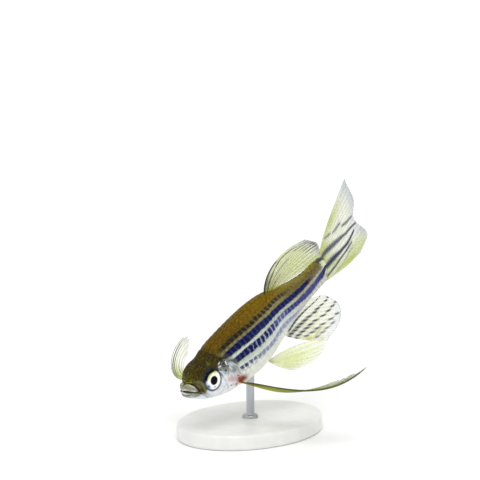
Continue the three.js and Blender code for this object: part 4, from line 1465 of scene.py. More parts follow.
@dataclass(frozen=True)
class Eye:
    """An eyeball: a flattened ball with a lens that stands a little proud of the iris."""

    orbit: Orbit
    ring_count: int = 72
    round_count: int = 96
    pupil: float = 0.41
    lens_rise: float = 0.05

    def build(self, pose: Pose, side: float, name: str, material: Material) -> Piece:
        """Builds one eyeball from rings about its axis, from the front pole to the rear one.

        A ring at angle t from the front lies r = sin t out and flatness times cos t ahead, both times the
        radius, and the lens adds the height of a shallow dome within the pupil.

        Args:
            pose: How the fish is posed.
            side: -1 for the left eye and 1 for the right.
            name: The piece's name.
            material: The eye's finish.
        Returns:
            The eyeball.
        """
        middle, outwards, forwards, upwards = self.orbit.axes(side)
        tilt = np.linspace(0, np.pi, self.ring_count + 2)[1:-1, None]
        turn = circle(self.round_count)[None]
        out = np.sin(tilt) + 0 * turn
        dome = np.sqrt(np.maximum(1 - (out / self.pupil) ** 2, 0)) * self.lens_rise * (tilt < np.pi / 2)
        height = self.orbit.radius * self.orbit.flatness * np.cos(tilt) + dome
        rings = (middle + height[..., None] * outwards
                 + self.orbit.radius * out[..., None]
                 * (np.cos(turn)[..., None] * forwards + np.sin(turn)[..., None] * upwards))
        degrees = np.degrees(turn) + 0 * tilt
        drawn_out = 0.1 * smooth(degrees, 95, 140)
        facts = {
            "outward": np.where(tilt < np.pi / 2, out, 1.0),
            "night": (smooth(degrees, 12, 34) * (1 - smooth(degrees, 118, 142))
                      * smooth(out, 0.68 + drawn_out, 0.8 + drawn_out)),
            "gold": (0.95 * smooth(degrees, 28, 48) * (1 - smooth(degrees, 136, 152))
                     * bell(out - 0.66 - 0.12 * smooth(degrees, 70, 125), 0.1)),
            "sky": bell(degrees - 343, 18) * bell(out - 0.78, 0.13),
            "teal": 0.7 * (bell(degrees, 22) + bell(degrees - 360, 22)) * bell(out - 0.86, 0.12),
        }
        facts["teal"] = np.maximum(facts["teal"], 0.6 * bell(degrees - 312, 14) * bell(out - 0.88, 0.06))
        facts["night"] = np.maximum(facts["night"], 0.8 * bell(degrees - 283, 10) * bell(out - 0.64, 0.07))
        reach = self.orbit.radius * self.orbit.flatness
        poles = (middle + outwards * (reach + self.lens_rise), middle - outwards * reach)
        return Shape.tube(rings, facts, poles).faced_out().build(name, pose, material)


# Fins

@dataclass(frozen=True)
class Band:
    """A row of dashes, one a ray, along a line of (across, out).

    Between rays it loses a share of its strength. A dash leans from its ray towards the row, by this many
    gaps between rays for the fin's whole height.
    """

    line: Course
    half: float
    strength: float = 1.0
    loss: float = 0.8
    lean: float = 4.0
    wide: float = 0.42

    def ink(self, across: Array, out: Array, gaps: int) -> Array:
        """How dark it is: a flat-topped bell about the row's line, less what is lost between rays.

        Args:
            across: 0 at the first ray to 1 at the last.
            out: 0 at the root to 1 at the tip.
            gaps: The number of gaps between rays.
        Returns:
            The strength at each point.
        """
        way = across * gaps - self.lean * (out - self.line.at(across))
        near = np.clip(np.round(way) / gaps, 0, 1)
        off = out - self.line.at(across + (near - across) * self.loss)
        beside = 1 - self.loss * (1 - bell(way - near * gaps, self.wide))
        first, last = self.line.stations[0][0], self.line.stations[-1][0]
        shown = smooth(across, first - 0.05, first + 0.01) * (1 - smooth(across, last - 0.01, last + 0.05))
        return self.strength * shown * beside * bell(np.abs(off) ** 1.5, self.half**1.5)


@dataclass(frozen=True)
class Streak:
    """A dark stripe along a fin: corners of (out, across, half width), out rising."""

    path: tuple[tuple[float, float, float], ...]
    strength: float = 1.0

    def ink(self, across: Array, out: Array) -> Array:
        """How dark it is: a flat-topped bell across the path's line, eased in and out at its ends.

        Args:
            across: 0 at the first ray to 1 at the last.
            out: 0 at the root to 1 at the tip.
        Returns:
            The ink's strength, 0 to 1.
        """
        outs, places, halves = np.array(self.path).T
        gap = across - np.interp(out, outs, places)
        ends = smooth(out, outs[0] - 0.02, outs[0] + 0.03)
        ends *= 1 - smooth(out, outs[-1] - 0.03, outs[-1] + 0.02)
        return self.strength * bell(np.abs(gap) ** 1.5, np.interp(out, outs, halves) ** 1.5) * ends


@dataclass(frozen=True)
class Patch:
    """A soft patch of yellow or grey on a fin, by its middle and half sizes across and out."""

    across: float
    out: float
    wide: float
    deep: float
    strength: float

    def shade(self, across: Array, out: Array) -> Array:
        """Its strength: a bell about its middle."""
        away = np.hypot((across - self.across) / self.wide, (out - self.out) / self.deep)
        return self.strength * bell(away, 1.0)


@dataclass(frozen=True)
class Fin:
    """A fin from its key rays, first to last, each a cubic curve of root, two guides and tip."""

    name: str
    node: str
    keys: tuple
    ray_count: int
    finish: FinFinish
    across_count: int
    out_count: int
    membrane: float = 0.045
    ray_height: float = 0.05
    pleat: float = 0.06
    notch: float = 0.035
    split_at: float = 0.45
    root_depth: float = 0.7
    bands: tuple[Band, ...] = ()
    streaks: tuple[Streak, ...] = ()
    yellows: tuple[Patch, ...] = ()
    dusks: tuple[Patch, ...] = ()
    ray_width: float = 0.13
    inwards: Colour = (0.0, 0.0, -1.0)

    def sheet(self, across: Array, out: Array) -> Array:
        """Points of the fin's middle sheet.

        Across, the four guide points run as a smooth curve through the key rays' own. Out, they are those of
        a cubic curve. Below nought the root goes on inwards, into the body.

        Args:
            across: 0 at the first ray to 1 at the last.
            out: 0 at the root to 1 at the tip, and below 0 for the sunken root, in millimetres.
        Returns:
            The points.
        """
        keys = np.array(self.keys, float)
        keys = np.concatenate([[2 * keys[0] - keys[1]], keys, [2 * keys[-1] - keys[-2]]])
        spans = len(keys) - 3
        way = np.clip(across, 0, 1) * spans
        index = np.minimum(way.astype(int), spans - 1)
        t = (way - index)[..., None, None]
        a, b, c, d = (keys[index + k] for k in range(4))
        lead, trail = (c - a) / 2, (d - b) / 2
        guide = ((2 * b - 2 * c + lead + trail) * t**3
                 + (-3 * b + 3 * c - 2 * lead - trail) * t**2 + lead * t + b)
        v = np.maximum(out, 0)[..., None]
        place = ((1 - v) ** 3 * guide[..., 0, :] + 3 * v * (1 - v) ** 2 * guide[..., 1, :]
                 + 3 * v * v * (1 - v) * guide[..., 2, :] + v**3 * guide[..., 3, :])
        return place + unit(np.array(self.inwards)) * np.maximum(-out, 0)[..., None]

    def rays(self, across: Array, out: Array) -> Array:
        """How much of a ray is here, 0 to 1: one bell for each ray, parting in two beyond the split.

        Args:
            across: 0 at the first ray to 1 at the last.
            out: 0 at the root to 1 at the tip.
        Returns:
            The share, 0 to 1.
        """
        way = across * (self.ray_count - 1)
        off = np.abs(way - np.round(way))
        apart = 0.24 * smooth(out, self.split_at, 1.0)
        return bell(off - apart, self.ray_width * (1.25 - 0.25 * out))

    def marks(self, across: Array, out: Array) -> dict[str, Array]:
        """Ink, yellow and grey at each point, from the bands of dashes, the streaks and the patches.

        Args:
            across: 0 at the first ray to 1 at the last.
            out: 0 at the root to 1 at the tip.
        Returns:
            One array for each attribute.
        """
        bare = np.ones_like(across)
        for band in self.bands:
            bare *= 1 - band.ink(across, out, self.ray_count - 1)
        for streak in self.streaks:
            bare *= 1 - streak.ink(across, out)
        facts = {"ink": 1 - bare}
        for key, patches in (("yellow", self.yellows), ("dusk", self.dusks)):
            left = np.ones_like(across)
            for patch in patches:
                left *= 1 - patch.shade(across, out)
            facts[key] = 1 - left
        return facts

    def build(self, pose: Pose, material: Material) -> Piece:
        """Builds the fin as one closed leaf: two faces either side of the sheet, joined round the edge.

        The half thickness is the membrane's, thinning outwards, plus the rays' height. The sheet is pleated
        between the rays, and its free edge is notched there.

        Args:
            pose: How the fish is posed.
            material: The fin's finish.
        Returns:
            The fin.
        """
        u = np.linspace(0, 1, self.across_count)
        sunk = np.linspace(-self.root_depth, 0, 5)[:-1]
        v = np.concatenate([sunk, np.linspace(0, 1, self.out_count) ** 0.95])
        across, out = np.meshgrid(u, v, indexing="ij")
        ray = self.rays(across, np.maximum(out, 0))
        chance = np.random.default_rng(len(self.name) * 7 + self.ray_count)
        halves = self.ray_count * 2
        ragged = np.interp(u, np.linspace(0, 1, halves), chance.uniform(0, 1, halves))
        ragged *= smooth(np.minimum(u, 1 - u), 0, 0.1)
        between = (1 - self.rays(u, np.ones_like(u))) * smooth(u, 0, 0.06)
        reach = 1 - self.notch * (0.65 * between + 0.35 * ragged)
        held = np.where(out > 0, out * reach[:, None], out)
        middle = self.sheet(across, held)
        along_u, along_v = np.gradient(middle, axis=0), np.gradient(middle, axis=1)
        normal = unit(np.cross(along_u, along_v))
        way = across * (self.ray_count - 1)
        fold = self.pleat * np.cos(2 * np.pi * way) * smooth(out, 0.05, 0.6)
        middle = middle + normal * fold[..., None]
        thin = 1 - 0.6 * np.clip(out, 0, 1)
        thick = self.membrane * thin + self.ray_height * ray * thin
        edge = np.minimum(np.minimum(across, 1 - across) * self.across_count / 2.5, 1)
        edge = np.minimum(edge, np.minimum((1 - out) * self.out_count / 2.5, 1))
        thick *= 0.35 + 0.65 * np.sqrt(np.clip(edge, 0, 1))
        faces = [middle + normal * thick[..., None], middle - normal * thick[..., None]]
        points = np.concatenate([face.reshape(-1, 3) for face in faces])
        facts = self.marks(across, np.maximum(out, 0)) | {"ray": ray, "outward": np.maximum(out, 0)}
        doubled = {k: np.concatenate([f.ravel(), f.ravel()]) for k, f in facts.items()}
        shape = Shape(points, Shape.leaf(*across.shape), np.zeros((0, 3), int), doubled)
        return shape.faced_out().build(self.name, pose, material)


DORSAL_KEYS = (
    ((19.4, 0, 4.25), (20.1, 0, 6.7), (23.6, 0, 8.8), (30.6, 0, 6.7)),
    ((20.3, 0, 4.05), (21.8, 0, 5.9), (26.0, 0, 7.2), (32.0, 0, 5.6)),
    ((21.15, 0, 3.8), (23.2, 0, 4.9), (27.8, 0, 5.2), (33.3, 0, 4.3)),
    ((22.2, 0, 3.4), (24.8, 0, 3.15), (28.5, 0, 2.25), (33.4, 0, 2.35)),
)
ANAL_KEYS = (
    ((20.9, 0, -4.0), (23.2, 0, -6.4), (26.2, 0, -8.7), (29.9, 0, -11.2)),
    ((23.2, 0, -3.3), (26.0, 0, -5.6), (29.6, 0, -8.0), (34.0, 0, -10.3)),
    ((25.7, 0, -2.7), (28.0, 0, -4.2), (31.2, 0, -5.9), (34.8, 0, -7.6)),
    ((28.3, 0, -2.4), (29.4, 0, -2.85), (30.6, 0, -3.3), (32.0, 0, -4.0)),
)
TAIL_KEYS = (
    ((32.9, 0, 2.5), (34.6, 0, 5.2), (38.4, 0, 7.2), (43.1, 0, 9.8)),
    ((33.2, 0, 1.5), (36.5, 0, 3.3), (40.3, 0, 4.9), (44.3, 0, 5.6)),
    ((33.3, 0, 0.15), (36.8, 0, 0.9), (40.0, 0, 1.6), (43.3, 0, 2.6)),
    ((33.2, 0, -1.1), (37.4, 0, -1.55), (41.6, 0, -1.7), (45.9, 0, -1.6)),
    ((32.9, 0, -2.2), (36.0, 0, -2.85), (39.4, 0, -3.4), (43.1, 0, -3.35)),
)
CHEST_LEFT_KEYS = (
    ((8.5, -2.75, -3.4), (9.6, -8.3, -2.65), (10.3, -16.2, -5.3), (21.1, -15.6, -5.4)),
    ((8.8, -2.65, -3.65), (9.9, -7.9, -4.3), (12.3, -12.9, -5.9), (18.8, -12.9, -6.5)),
    ((9.1, -2.55, -3.9), (10.1, -5.8, -5.0), (11.3, -8.0, -6.2), (15.3, -10.2, -7.0)),
)
CHEST_RIGHT_KEYS = (
    ((8.5, 3.0, -3.1), (3.3, 9.6, -6.4), (10.6, 15.0, -4.6), (16.0, 16.2, -5.3)),
    ((8.8, 2.95, -3.3), (4.6, 9.8, -6.3), (10.8, 14.0, -5.2), (15.7, 14.5, -4.8)),
    ((9.1, 2.85, -3.6), (7.2, 7.8, -5.0), (8.9, 11.4, -5.6), (12.6, 11.8, -4.8)),
)
BELLY_LEFT_KEYS = (
    ((16.2, -0.85, -5.45), (16.7, -1.8, -6.6), (17.8, -2.7, -7.5), (18.8, -2.9, -8.2)),
    ((16.35, -0.85, -5.5), (17.8, -2.0, -7.0), (20.8, -3.1, -8.2), (23.0, -3.4, -9.1)),
    ((16.5, -0.8, -5.5), (18.7, -2.1, -7.1), (22.8, -3.0, -8.0), (26.6, -3.0, -9.0)),
    ((16.8, -0.6, -5.45), (19.2, -0.6, -5.7), (22.3, -1.2, -5.9), (26.6, -2.2, -7.9)),
)
BELLY_RIGHT_KEYS = (
    ((16.2, 0.85, -5.45), (16.8, 1.8, -6.0), (17.9, 2.5, -6.1), (19.2, 3.0, -6.0)),
    ((16.35, 0.85, -5.5), (17.8, 1.9, -5.9), (19.6, 2.5, -5.9), (21.9, 3.0, -5.6)),
    ((16.5, 0.8, -5.5), (18.2, 1.7, -5.7), (20.6, 2.1, -5.4), (23.9, 2.6, -4.7)),
    ((16.8, 0.6, -5.45), (18.4, 1.1, -5.2), (20.6, 1.5, -4.7), (24.0, 1.9, -3.9)),
)
DORSAL_STREAKS = (
    Streak(((-0.1, 0.0, 0.14), (0.15, 0.0, 0.13), (0.3, 0.0, 0.08), (0.5, 0.02, 0.04), (0.58, 0.03, 0.02)),
        0.95),
    Streak(((-0.1, 0.29, 0.075), (0.16, 0.255, 0.068), (0.3, 0.225, 0.045), (0.4, 0.19, 0.024),
        (0.5, 0.155, 0.022), (0.6, 0.12, 0.02), (0.75, 0.13, 0.018), (0.9, 0.2, 0.016), (1.0, 0.24, 0.015)),
        0.85),
    Streak(((-0.1, 0.16, 0.03), (0.2, 0.13, 0.026), (0.34, 0.08, 0.02)), 0.6),
    Streak(((-0.1, 0.44, 0.05), (0.12, 0.42, 0.04), (0.25, 0.4, 0.028), (0.45, 0.385, 0.022),
        (0.62, 0.385, 0.024)), 0.55),
    Streak(((-0.1, 0.54, 0.03), (0.2, 0.52, 0.018), (0.35, 0.5, 0.012)), 0.6),
    Streak(((-0.1, 0.64, 0.045), (0.12, 0.62, 0.03), (0.36, 0.58, 0.016)), 0.75),
    Streak(((0.04, 0.71, 0.018), (0.2, 0.7, 0.014), (0.42, 0.69, 0.012)), 0.45),
    Streak(((0.1, 0.8, 0.014), (0.25, 0.8, 0.016), (0.5, 0.79, 0.016)), 0.35),
    Streak(((0.74, 0.29, 0.014), (0.97, 0.33, 0.022)), 0.75),
    Streak(((0.76, 0.43, 0.014), (1.0, 0.47, 0.022)), 0.75),
    Streak(((0.78, 0.55, 0.014), (1.0, 0.57, 0.022)), 0.75),
    Streak(((0.8, 0.66, 0.014), (1.0, 0.67, 0.022)), 0.75),
    Streak(((0.84, 0.77, 0.012), (1.0, 0.78, 0.016)), 0.55),
)
ANAL_BANDS = (
    Band(line=Course(((0.12, 0.07), (0.35, 0.075), (0.45, 0.09), (0.55, 0.12), (0.65, 0.17), (0.72, 0.21),
        (0.8, 0.3), (0.86, 0.38), (0.92, 0.5), (1.0, 0.72))), half=0.034, loss=0.2, lean=3.0),
    Band(line=Course(((0.0, 0.16), (0.1, 0.17), (0.2, 0.2), (0.3, 0.22), (0.4, 0.265), (0.46, 0.3),
        (0.52, 0.35), (0.58, 0.42), (0.64, 0.46), (0.7, 0.52), (0.76, 0.62), (0.82, 0.75), (0.88, 0.87),
        (0.92, 0.98))), half=0.062, loss=0.55),
    Band(line=Course(((0.0, 0.32), (0.1, 0.34), (0.2, 0.38), (0.3, 0.42), (0.38, 0.46), (0.45, 0.55),
        (0.51, 0.65), (0.56, 0.71), (0.62, 0.79), (0.68, 0.87), (0.74, 0.97))), half=0.06, loss=0.75),
    Band(line=Course(((0.08, 0.5), (0.15, 0.56), (0.22, 0.6), (0.3, 0.64), (0.37, 0.73), (0.44, 0.85),
        (0.5, 0.93))), half=0.056, strength=0.92, loss=0.8),
    Band(line=Course(((0.06, 0.73), (0.12, 0.76), (0.18, 0.785), (0.24, 0.8), (0.3, 0.85), (0.36, 0.88))),
        half=0.045, strength=0.75, loss=0.8),
)
TAIL_STREAKS = (
    Streak(((-0.1, 0.18, 0.1), (0.07, 0.22, 0.09), (0.14, 0.27, 0.08), (0.22, 0.325, 0.07),
        (0.3, 0.365, 0.06), (0.38, 0.4, 0.05), (0.46, 0.43, 0.042), (0.55, 0.455, 0.034),
        (0.62, 0.475, 0.026), (0.7, 0.5, 0.022), (0.8, 0.51, 0.018), (1.0, 0.55, 0.013)), 0.88),
    Streak(((-0.1, 0.565, 0.095), (0.1, 0.57, 0.088), (0.2, 0.575, 0.074), (0.3, 0.585, 0.056),
        (0.4, 0.6, 0.036), (0.5, 0.605, 0.025), (0.6, 0.61, 0.021), (0.7, 0.6, 0.017),
        (0.88, 0.575, 0.012))),
    Streak(((0.02, 0.87, 0.05), (0.1, 0.83, 0.05), (0.15, 0.79, 0.045), (0.2, 0.77, 0.04),
        (0.27, 0.735, 0.032), (0.33, 0.71, 0.026), (0.4, 0.695, 0.021), (0.5, 0.68, 0.018),
        (0.6, 0.66, 0.015), (0.7, 0.65, 0.011)), 0.92),
    Streak(((0.25, 0.05, 0.03), (0.29, 0.09, 0.035), (0.33, 0.13, 0.035), (0.38, 0.165, 0.03)), 0.65),
    Streak(((0.38, 0.205, 0.025), (0.45, 0.235, 0.026), (0.52, 0.25, 0.03), (0.6, 0.268, 0.02)), 0.7),
    Streak(((0.6, 0.335, 0.02), (0.7, 0.37, 0.024), (0.78, 0.395, 0.026), (0.86, 0.41, 0.022),
        (0.96, 0.43, 0.016)), 0.75),
    Streak(((0.2, 0.97, 0.02), (0.35, 0.91, 0.025), (0.42, 0.865, 0.02), (0.46, 0.79, 0.024),
        (0.55, 0.74, 0.024), (0.66, 0.71, 0.014)), 0.45),
)
CHEST_LEFT_STREAKS = (
    Streak(((0.06, 0.0, 0.12), (0.3, 0.0, 0.13), (0.5, 0.0, 0.13), (1.0, 0.03, 0.14)), 0.85),
    Streak(((0.5, 0.2, 0.03), (0.75, 0.22, 0.03), (1.0, 0.25, 0.05)), 0.7),
    Streak(((0.08, 0.42, 0.05), (0.4, 0.45, 0.05), (0.6, 0.45, 0.04)), 0.6),
    Streak(((0.1, 0.8, 0.05), (0.4, 0.8, 0.04), (0.55, 0.8, 0.05)), 0.5),
    Streak(((0.7, 0.4, 0.03), (1.0, 0.36, 0.05)), 0.55),
    Streak(((0.7, 0.7, 0.03), (1.0, 0.66, 0.05)), 0.4),
)
CHEST_RIGHT_STREAKS = (
    Streak(((0.3, 0.0, 0.04), (0.55, 0.0, 0.045), (0.85, 0.0, 0.02)), 0.8),
    Streak(((0.38, 0.165, 0.04), (0.6, 0.167, 0.05), (1.0, 0.167, 0.02))),
    Streak(((0.4, 0.333, 0.035), (0.6, 0.333, 0.04), (0.95, 0.333, 0.02)), 0.85),
    Streak(((0.3, 0.667, 0.025), (0.6, 0.667, 0.025), (0.9, 0.667, 0.012)), 0.45),
    Streak(((0.3, 1.0, 0.035), (0.6, 1.0, 0.035), (0.9, 1.0, 0.02)), 0.6),
)


@dataclass(frozen=True)
class FinSet:
    """All seven fins, with their marks and finishes."""

    def dorsal(self) -> Fin:
        """The back fin, with dark streaks along its front, at its root and at its edge.

        Returns:
            The fin.
        """
        finish = FinFinish(
            "dorsal_membrane", root=(196, 194, 92), middle=(216, 224, 160), tip=(216, 220, 214),
            dusk=(126, 130, 118), ink=(20, 20, 12), yellow=(206, 214, 110), ray_shade=(112, 120, 66),
            ray_share=0.5, thin=0.45, thin_tip=0.5)
        return Fin(
            "fin_dorsal", "dorsal_fin", DORSAL_KEYS, ray_count=13, finish=finish, across_count=180,
            out_count=84, pleat=0.015, notch=0.02, split_at=0.97, ray_height=0.025, ray_width=0.14,
            streaks=DORSAL_STREAKS,
            yellows=(
                Patch(0.2, 0.05, 0.35, 0.05, 0.8), Patch(0.65, 0.5, 0.3, 0.3, 0.5),
                Patch(1.0, 0.85, 0.12, 0.2, 0.8)),
            dusks=(Patch(0.55, 0.97, 0.4, 0.035, 0.8),))

    def anal(self) -> Fin:
        """The anal fin, with five rows of dashes.

        Returns:
            The fin.
        """
        finish = FinFinish(
            "anal_membrane", root=(240, 243, 222), middle=(244, 247, 226), tip=(243, 245, 252),
            dusk=(170, 174, 192), ink=(10, 12, 46), yellow=(208, 210, 56), ray_shade=(214, 220, 176),
            ray_share=0.3, thin=0.4, thin_tip=0.35)
        return Fin(
            "fin_anal", "anal_fin", ANAL_KEYS, ray_count=13, finish=finish, across_count=224, out_count=120,
            pleat=0.012, ray_height=0.03, notch=0.02, root_depth=0.6, inwards=(0.0, 0.0, 1.0),
            bands=ANAL_BANDS,
            yellows=(
                Patch(0.03, 0.6, 0.06, 0.08, 1.0), Patch(0.0, 0.4, 0.06, 0.05, 0.9),
                Patch(0.17, 0.69, 0.12, 0.04, 0.85), Patch(0.03, 0.86, 0.05, 0.06, 0.6),
                Patch(0.2, 0.5, 0.2, 0.045, 0.4), Patch(0.35, 0.33, 0.2, 0.04, 0.35),
                Patch(0.5, 0.5, 0.2, 0.05, 0.25)),
            dusks=(Patch(0.5, 1.0, 0.6, 0.02, 0.7),))

    def tail(self) -> Fin:
        """The forked tail fin, whose dark streaks carry the flank's stripes on.

        Returns:
            The fin.
        """
        finish = FinFinish(
            "tail_membrane", root=(206, 210, 150), middle=(234, 236, 214), tip=(214, 218, 222),
            dusk=(168, 176, 184), ink=(16, 30, 76), yellow=(190, 202, 76), ray_shade=(158, 170, 124),
            ray_share=0.36, thin=0.45, thin_tip=0.4)
        return Fin(
            "fin_tail", "tail_fin", TAIL_KEYS, ray_count=20, finish=finish, across_count=260, out_count=100,
            pleat=0.008, notch=0.02, ray_height=0.02, split_at=0.97, ray_width=0.14,
            inwards=(-1.0, 0.0, 0.0),
            streaks=TAIL_STREAKS,
            yellows=(
                Patch(0.03, 0.5, 0.1, 0.28, 0.85), Patch(0.92, 0.65, 0.14, 0.28, 1.0),
                Patch(0.85, 0.92, 0.12, 0.12, 0.6), Patch(0.73, 0.72, 0.06, 0.2, 0.6),
                Patch(0.1, 0.14, 0.16, 0.1, 0.8), Patch(0.36, 0.07, 0.14, 0.06, 0.8),
                Patch(0.9, 0.36, 0.08, 0.12, 0.7), Patch(0.67, 0.2, 0.04, 0.2, 0.6),
                Patch(0.83, 0.5, 0.05, 0.2, 0.5)),
            dusks=(
                Patch(0.2, 1.0, 0.25, 0.12, 0.6), Patch(0.66, 0.97, 0.06, 0.1, 0.6),
                Patch(0.0, 0.98, 0.06, 0.1, 0.5)))

    def chest_left(self) -> Fin:
        """The chest fin on the side that the photograph shows.

        Returns:
            The fin.
        """
        finish = FinFinish(
            "chest_left_membrane", root=(122, 108, 48), middle=(158, 170, 76), tip=(228, 232, 190),
            dusk=(172, 66, 40), ink=(54, 54, 24), yellow=(200, 212, 78), ray_shade=(104, 108, 48),
            ray_share=0.5, thin=0.8, thin_tip=0.15, solid=0.97)
        return Fin(
            "fin_chest_left", "pectoral_fin_left", CHEST_LEFT_KEYS, ray_count=9, finish=finish,
            across_count=100, out_count=120, membrane=0.06, ray_height=0.07, root_depth=0.9, notch=0.16,
            inwards=(0.1, 1.0, 0.1),
            streaks=CHEST_LEFT_STREAKS,
            yellows=(Patch(0.65, 0.28, 0.5, 0.26, 1.0),),
            dusks=(Patch(0.4, 0.0, 0.8, 0.022, 0.9),))

    def chest_right(self) -> Fin:
        """The chest fin on the far side, spread otherwise than the left one.

        Returns:
            The fin.
        """
        finish = FinFinish(
            "chest_right_membrane", root=(190, 200, 66), middle=(206, 214, 110), tip=(206, 210, 180),
            ink=(66, 72, 60), ray_shade=(150, 160, 60), ray_share=0.7, thin=0.62, thin_tip=0.03, solid=0.85)
        return Fin(
            "fin_chest_right", "pectoral_fin_right", CHEST_RIGHT_KEYS, ray_count=7, finish=finish,
            across_count=120, out_count=120, membrane=0.04, ray_height=0.1, root_depth=0.9, notch=0.16,
            ray_width=0.17, split_at=0.8, inwards=(0.1, -1.0, 0.1),
            streaks=CHEST_RIGHT_STREAKS)

    def belly_pair(self) -> tuple[Fin, Fin]:
        """The two belly fins, marked alike.

        Returns:
            The left fin and the right one.
        """
        finish = FinFinish(
            "belly_membrane", root=(232, 236, 186), middle=(234, 241, 186), tip=(243, 246, 234),
            yellow=(214, 226, 108), ray_shade=(212, 220, 170), ray_share=0.4, thin=0.42, thin_tip=0.25,
            solid=0.8)
        left = Fin(
            "fin_belly_left", "pelvic_fin_left", BELLY_LEFT_KEYS, ray_count=9, finish=finish,
            across_count=100, out_count=80, pleat=0.05, notch=0.05, inwards=(0.0, 0.25, 1.0),
            yellows=(
                Patch(0.6, 0.35, 0.3, 0.3, 0.6), Patch(0.1, 0.55, 0.1, 0.3, 0.7),
                Patch(0.27, 0.5, 0.05, 0.4, 0.8), Patch(0.5, 0.6, 0.04, 0.3, 0.7),
                Patch(0.75, 0.5, 0.05, 0.4, 0.7)),
            dusks=(Patch(0.12, 0.7, 0.12, 0.2, 0.3),))
        right = replace(left, name="fin_belly_right", node="pelvic_fin_right", keys=BELLY_RIGHT_KEYS,
                        inwards=(0.0, -0.25, 1.0))
        return left, right

    def build(self, pose: Pose) -> list[Piece]:
        """Builds every fin in its own finish and hides the CAD node that it stands for.

        Args:
            pose: How the fish is posed.
        Returns:
            The seven pieces.
        """
        made = []
        finished: dict[str, Material] = {}
        fins = (self.dorsal(), self.anal(), self.tail(), self.chest_left(), self.chest_right())
        for fin in (*fins, *self.belly_pair()):
            if fin.finish.name not in finished:
                finished[fin.finish.name] = fin.finish.build()
            piece = fin.build(pose, finished[fin.finish.name])
            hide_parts(fin.node)
            made.append(piece)
        return made


# Feelers

@dataclass(frozen=True)
class Feelers:
    """Two pairs of tapering feelers at the mouth, each a tube along a curve of root, bow and tip."""

    paths: tuple = (("rostral", ((1.9, -1.48, 0.45), (2.15, -1.72, 0.1), (2.5, -1.9, -0.45)), 0.075, 0.12),
                    ("maxillary", ((1.95, -2.12, -1.1), (2.9, -2.5, -2.3), (4.9, -2.55, -3.1)), 0.13, 1.0))
    ring_count: int = 40
    round_count: int = 14
    root_depth: float = 0.5

    def tube(self, path: tuple, root: float, paling: float, side: float) -> Shape:
        """A tube whose radius falls from root to a fine tip along a quadratic curve, begun inside the head.

        Args:
            path: Root, bow and tip on the left side.
            root: The radius at the root.
            paling: How far along the run of colours its tip is.
            side: -1 for the left side and 1 for the right.
        Returns:
            The closed tube.
        """
        start, bow, tip = (np.array(p) * (1, -side, 1) for p in path)
        start = start - unit(bow - start) * self.root_depth
        t = np.linspace(0, 1, self.ring_count)[:, None]
        line = (1 - t) ** 2 * start + 2 * t * (1 - t) * bow + t * t * tip
        heading = unit(np.gradient(line, axis=0))
        aside = unit(np.cross(heading, (0.0, 0.0, 1.0)))
        over = np.cross(aside, heading)
        turn = circle(self.round_count)
        radius = root * (1 - 0.78 * t**0.8) * np.sqrt(np.clip(1.02 - t**12, 0.02, 1))
        rings = line[:, None] + radius[..., None] * (np.cos(turn)[None, :, None] * aside[:, None]
                                                     + np.sin(turn)[None, :, None] * over[:, None])
        facts = {"outward": np.repeat(paling * t, self.round_count, axis=1)}
        return Shape.tube(rings, facts, (line[0], line[-1] + heading[-1] * 0.02)).faced_out()

    def build(self, pose: Pose, material: Material) -> list[Piece]:
        """Builds the four feelers, each in place of its CAD node.

        Args:
            pose: How the fish is posed.
            material: The feelers' material.
        Returns:
            The four pieces.
        """
        made = []
        for name, path, root, paling in self.paths:
            for word, side in (("left", -1.0), ("right", 1.0)):
                piece = self.tube(path, root, paling, side).build(f"feeler_{name}_{word}", pose, material)
                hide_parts(f"barbel_{name}_{word}")
                made.append(piece)
        return made


# Stand

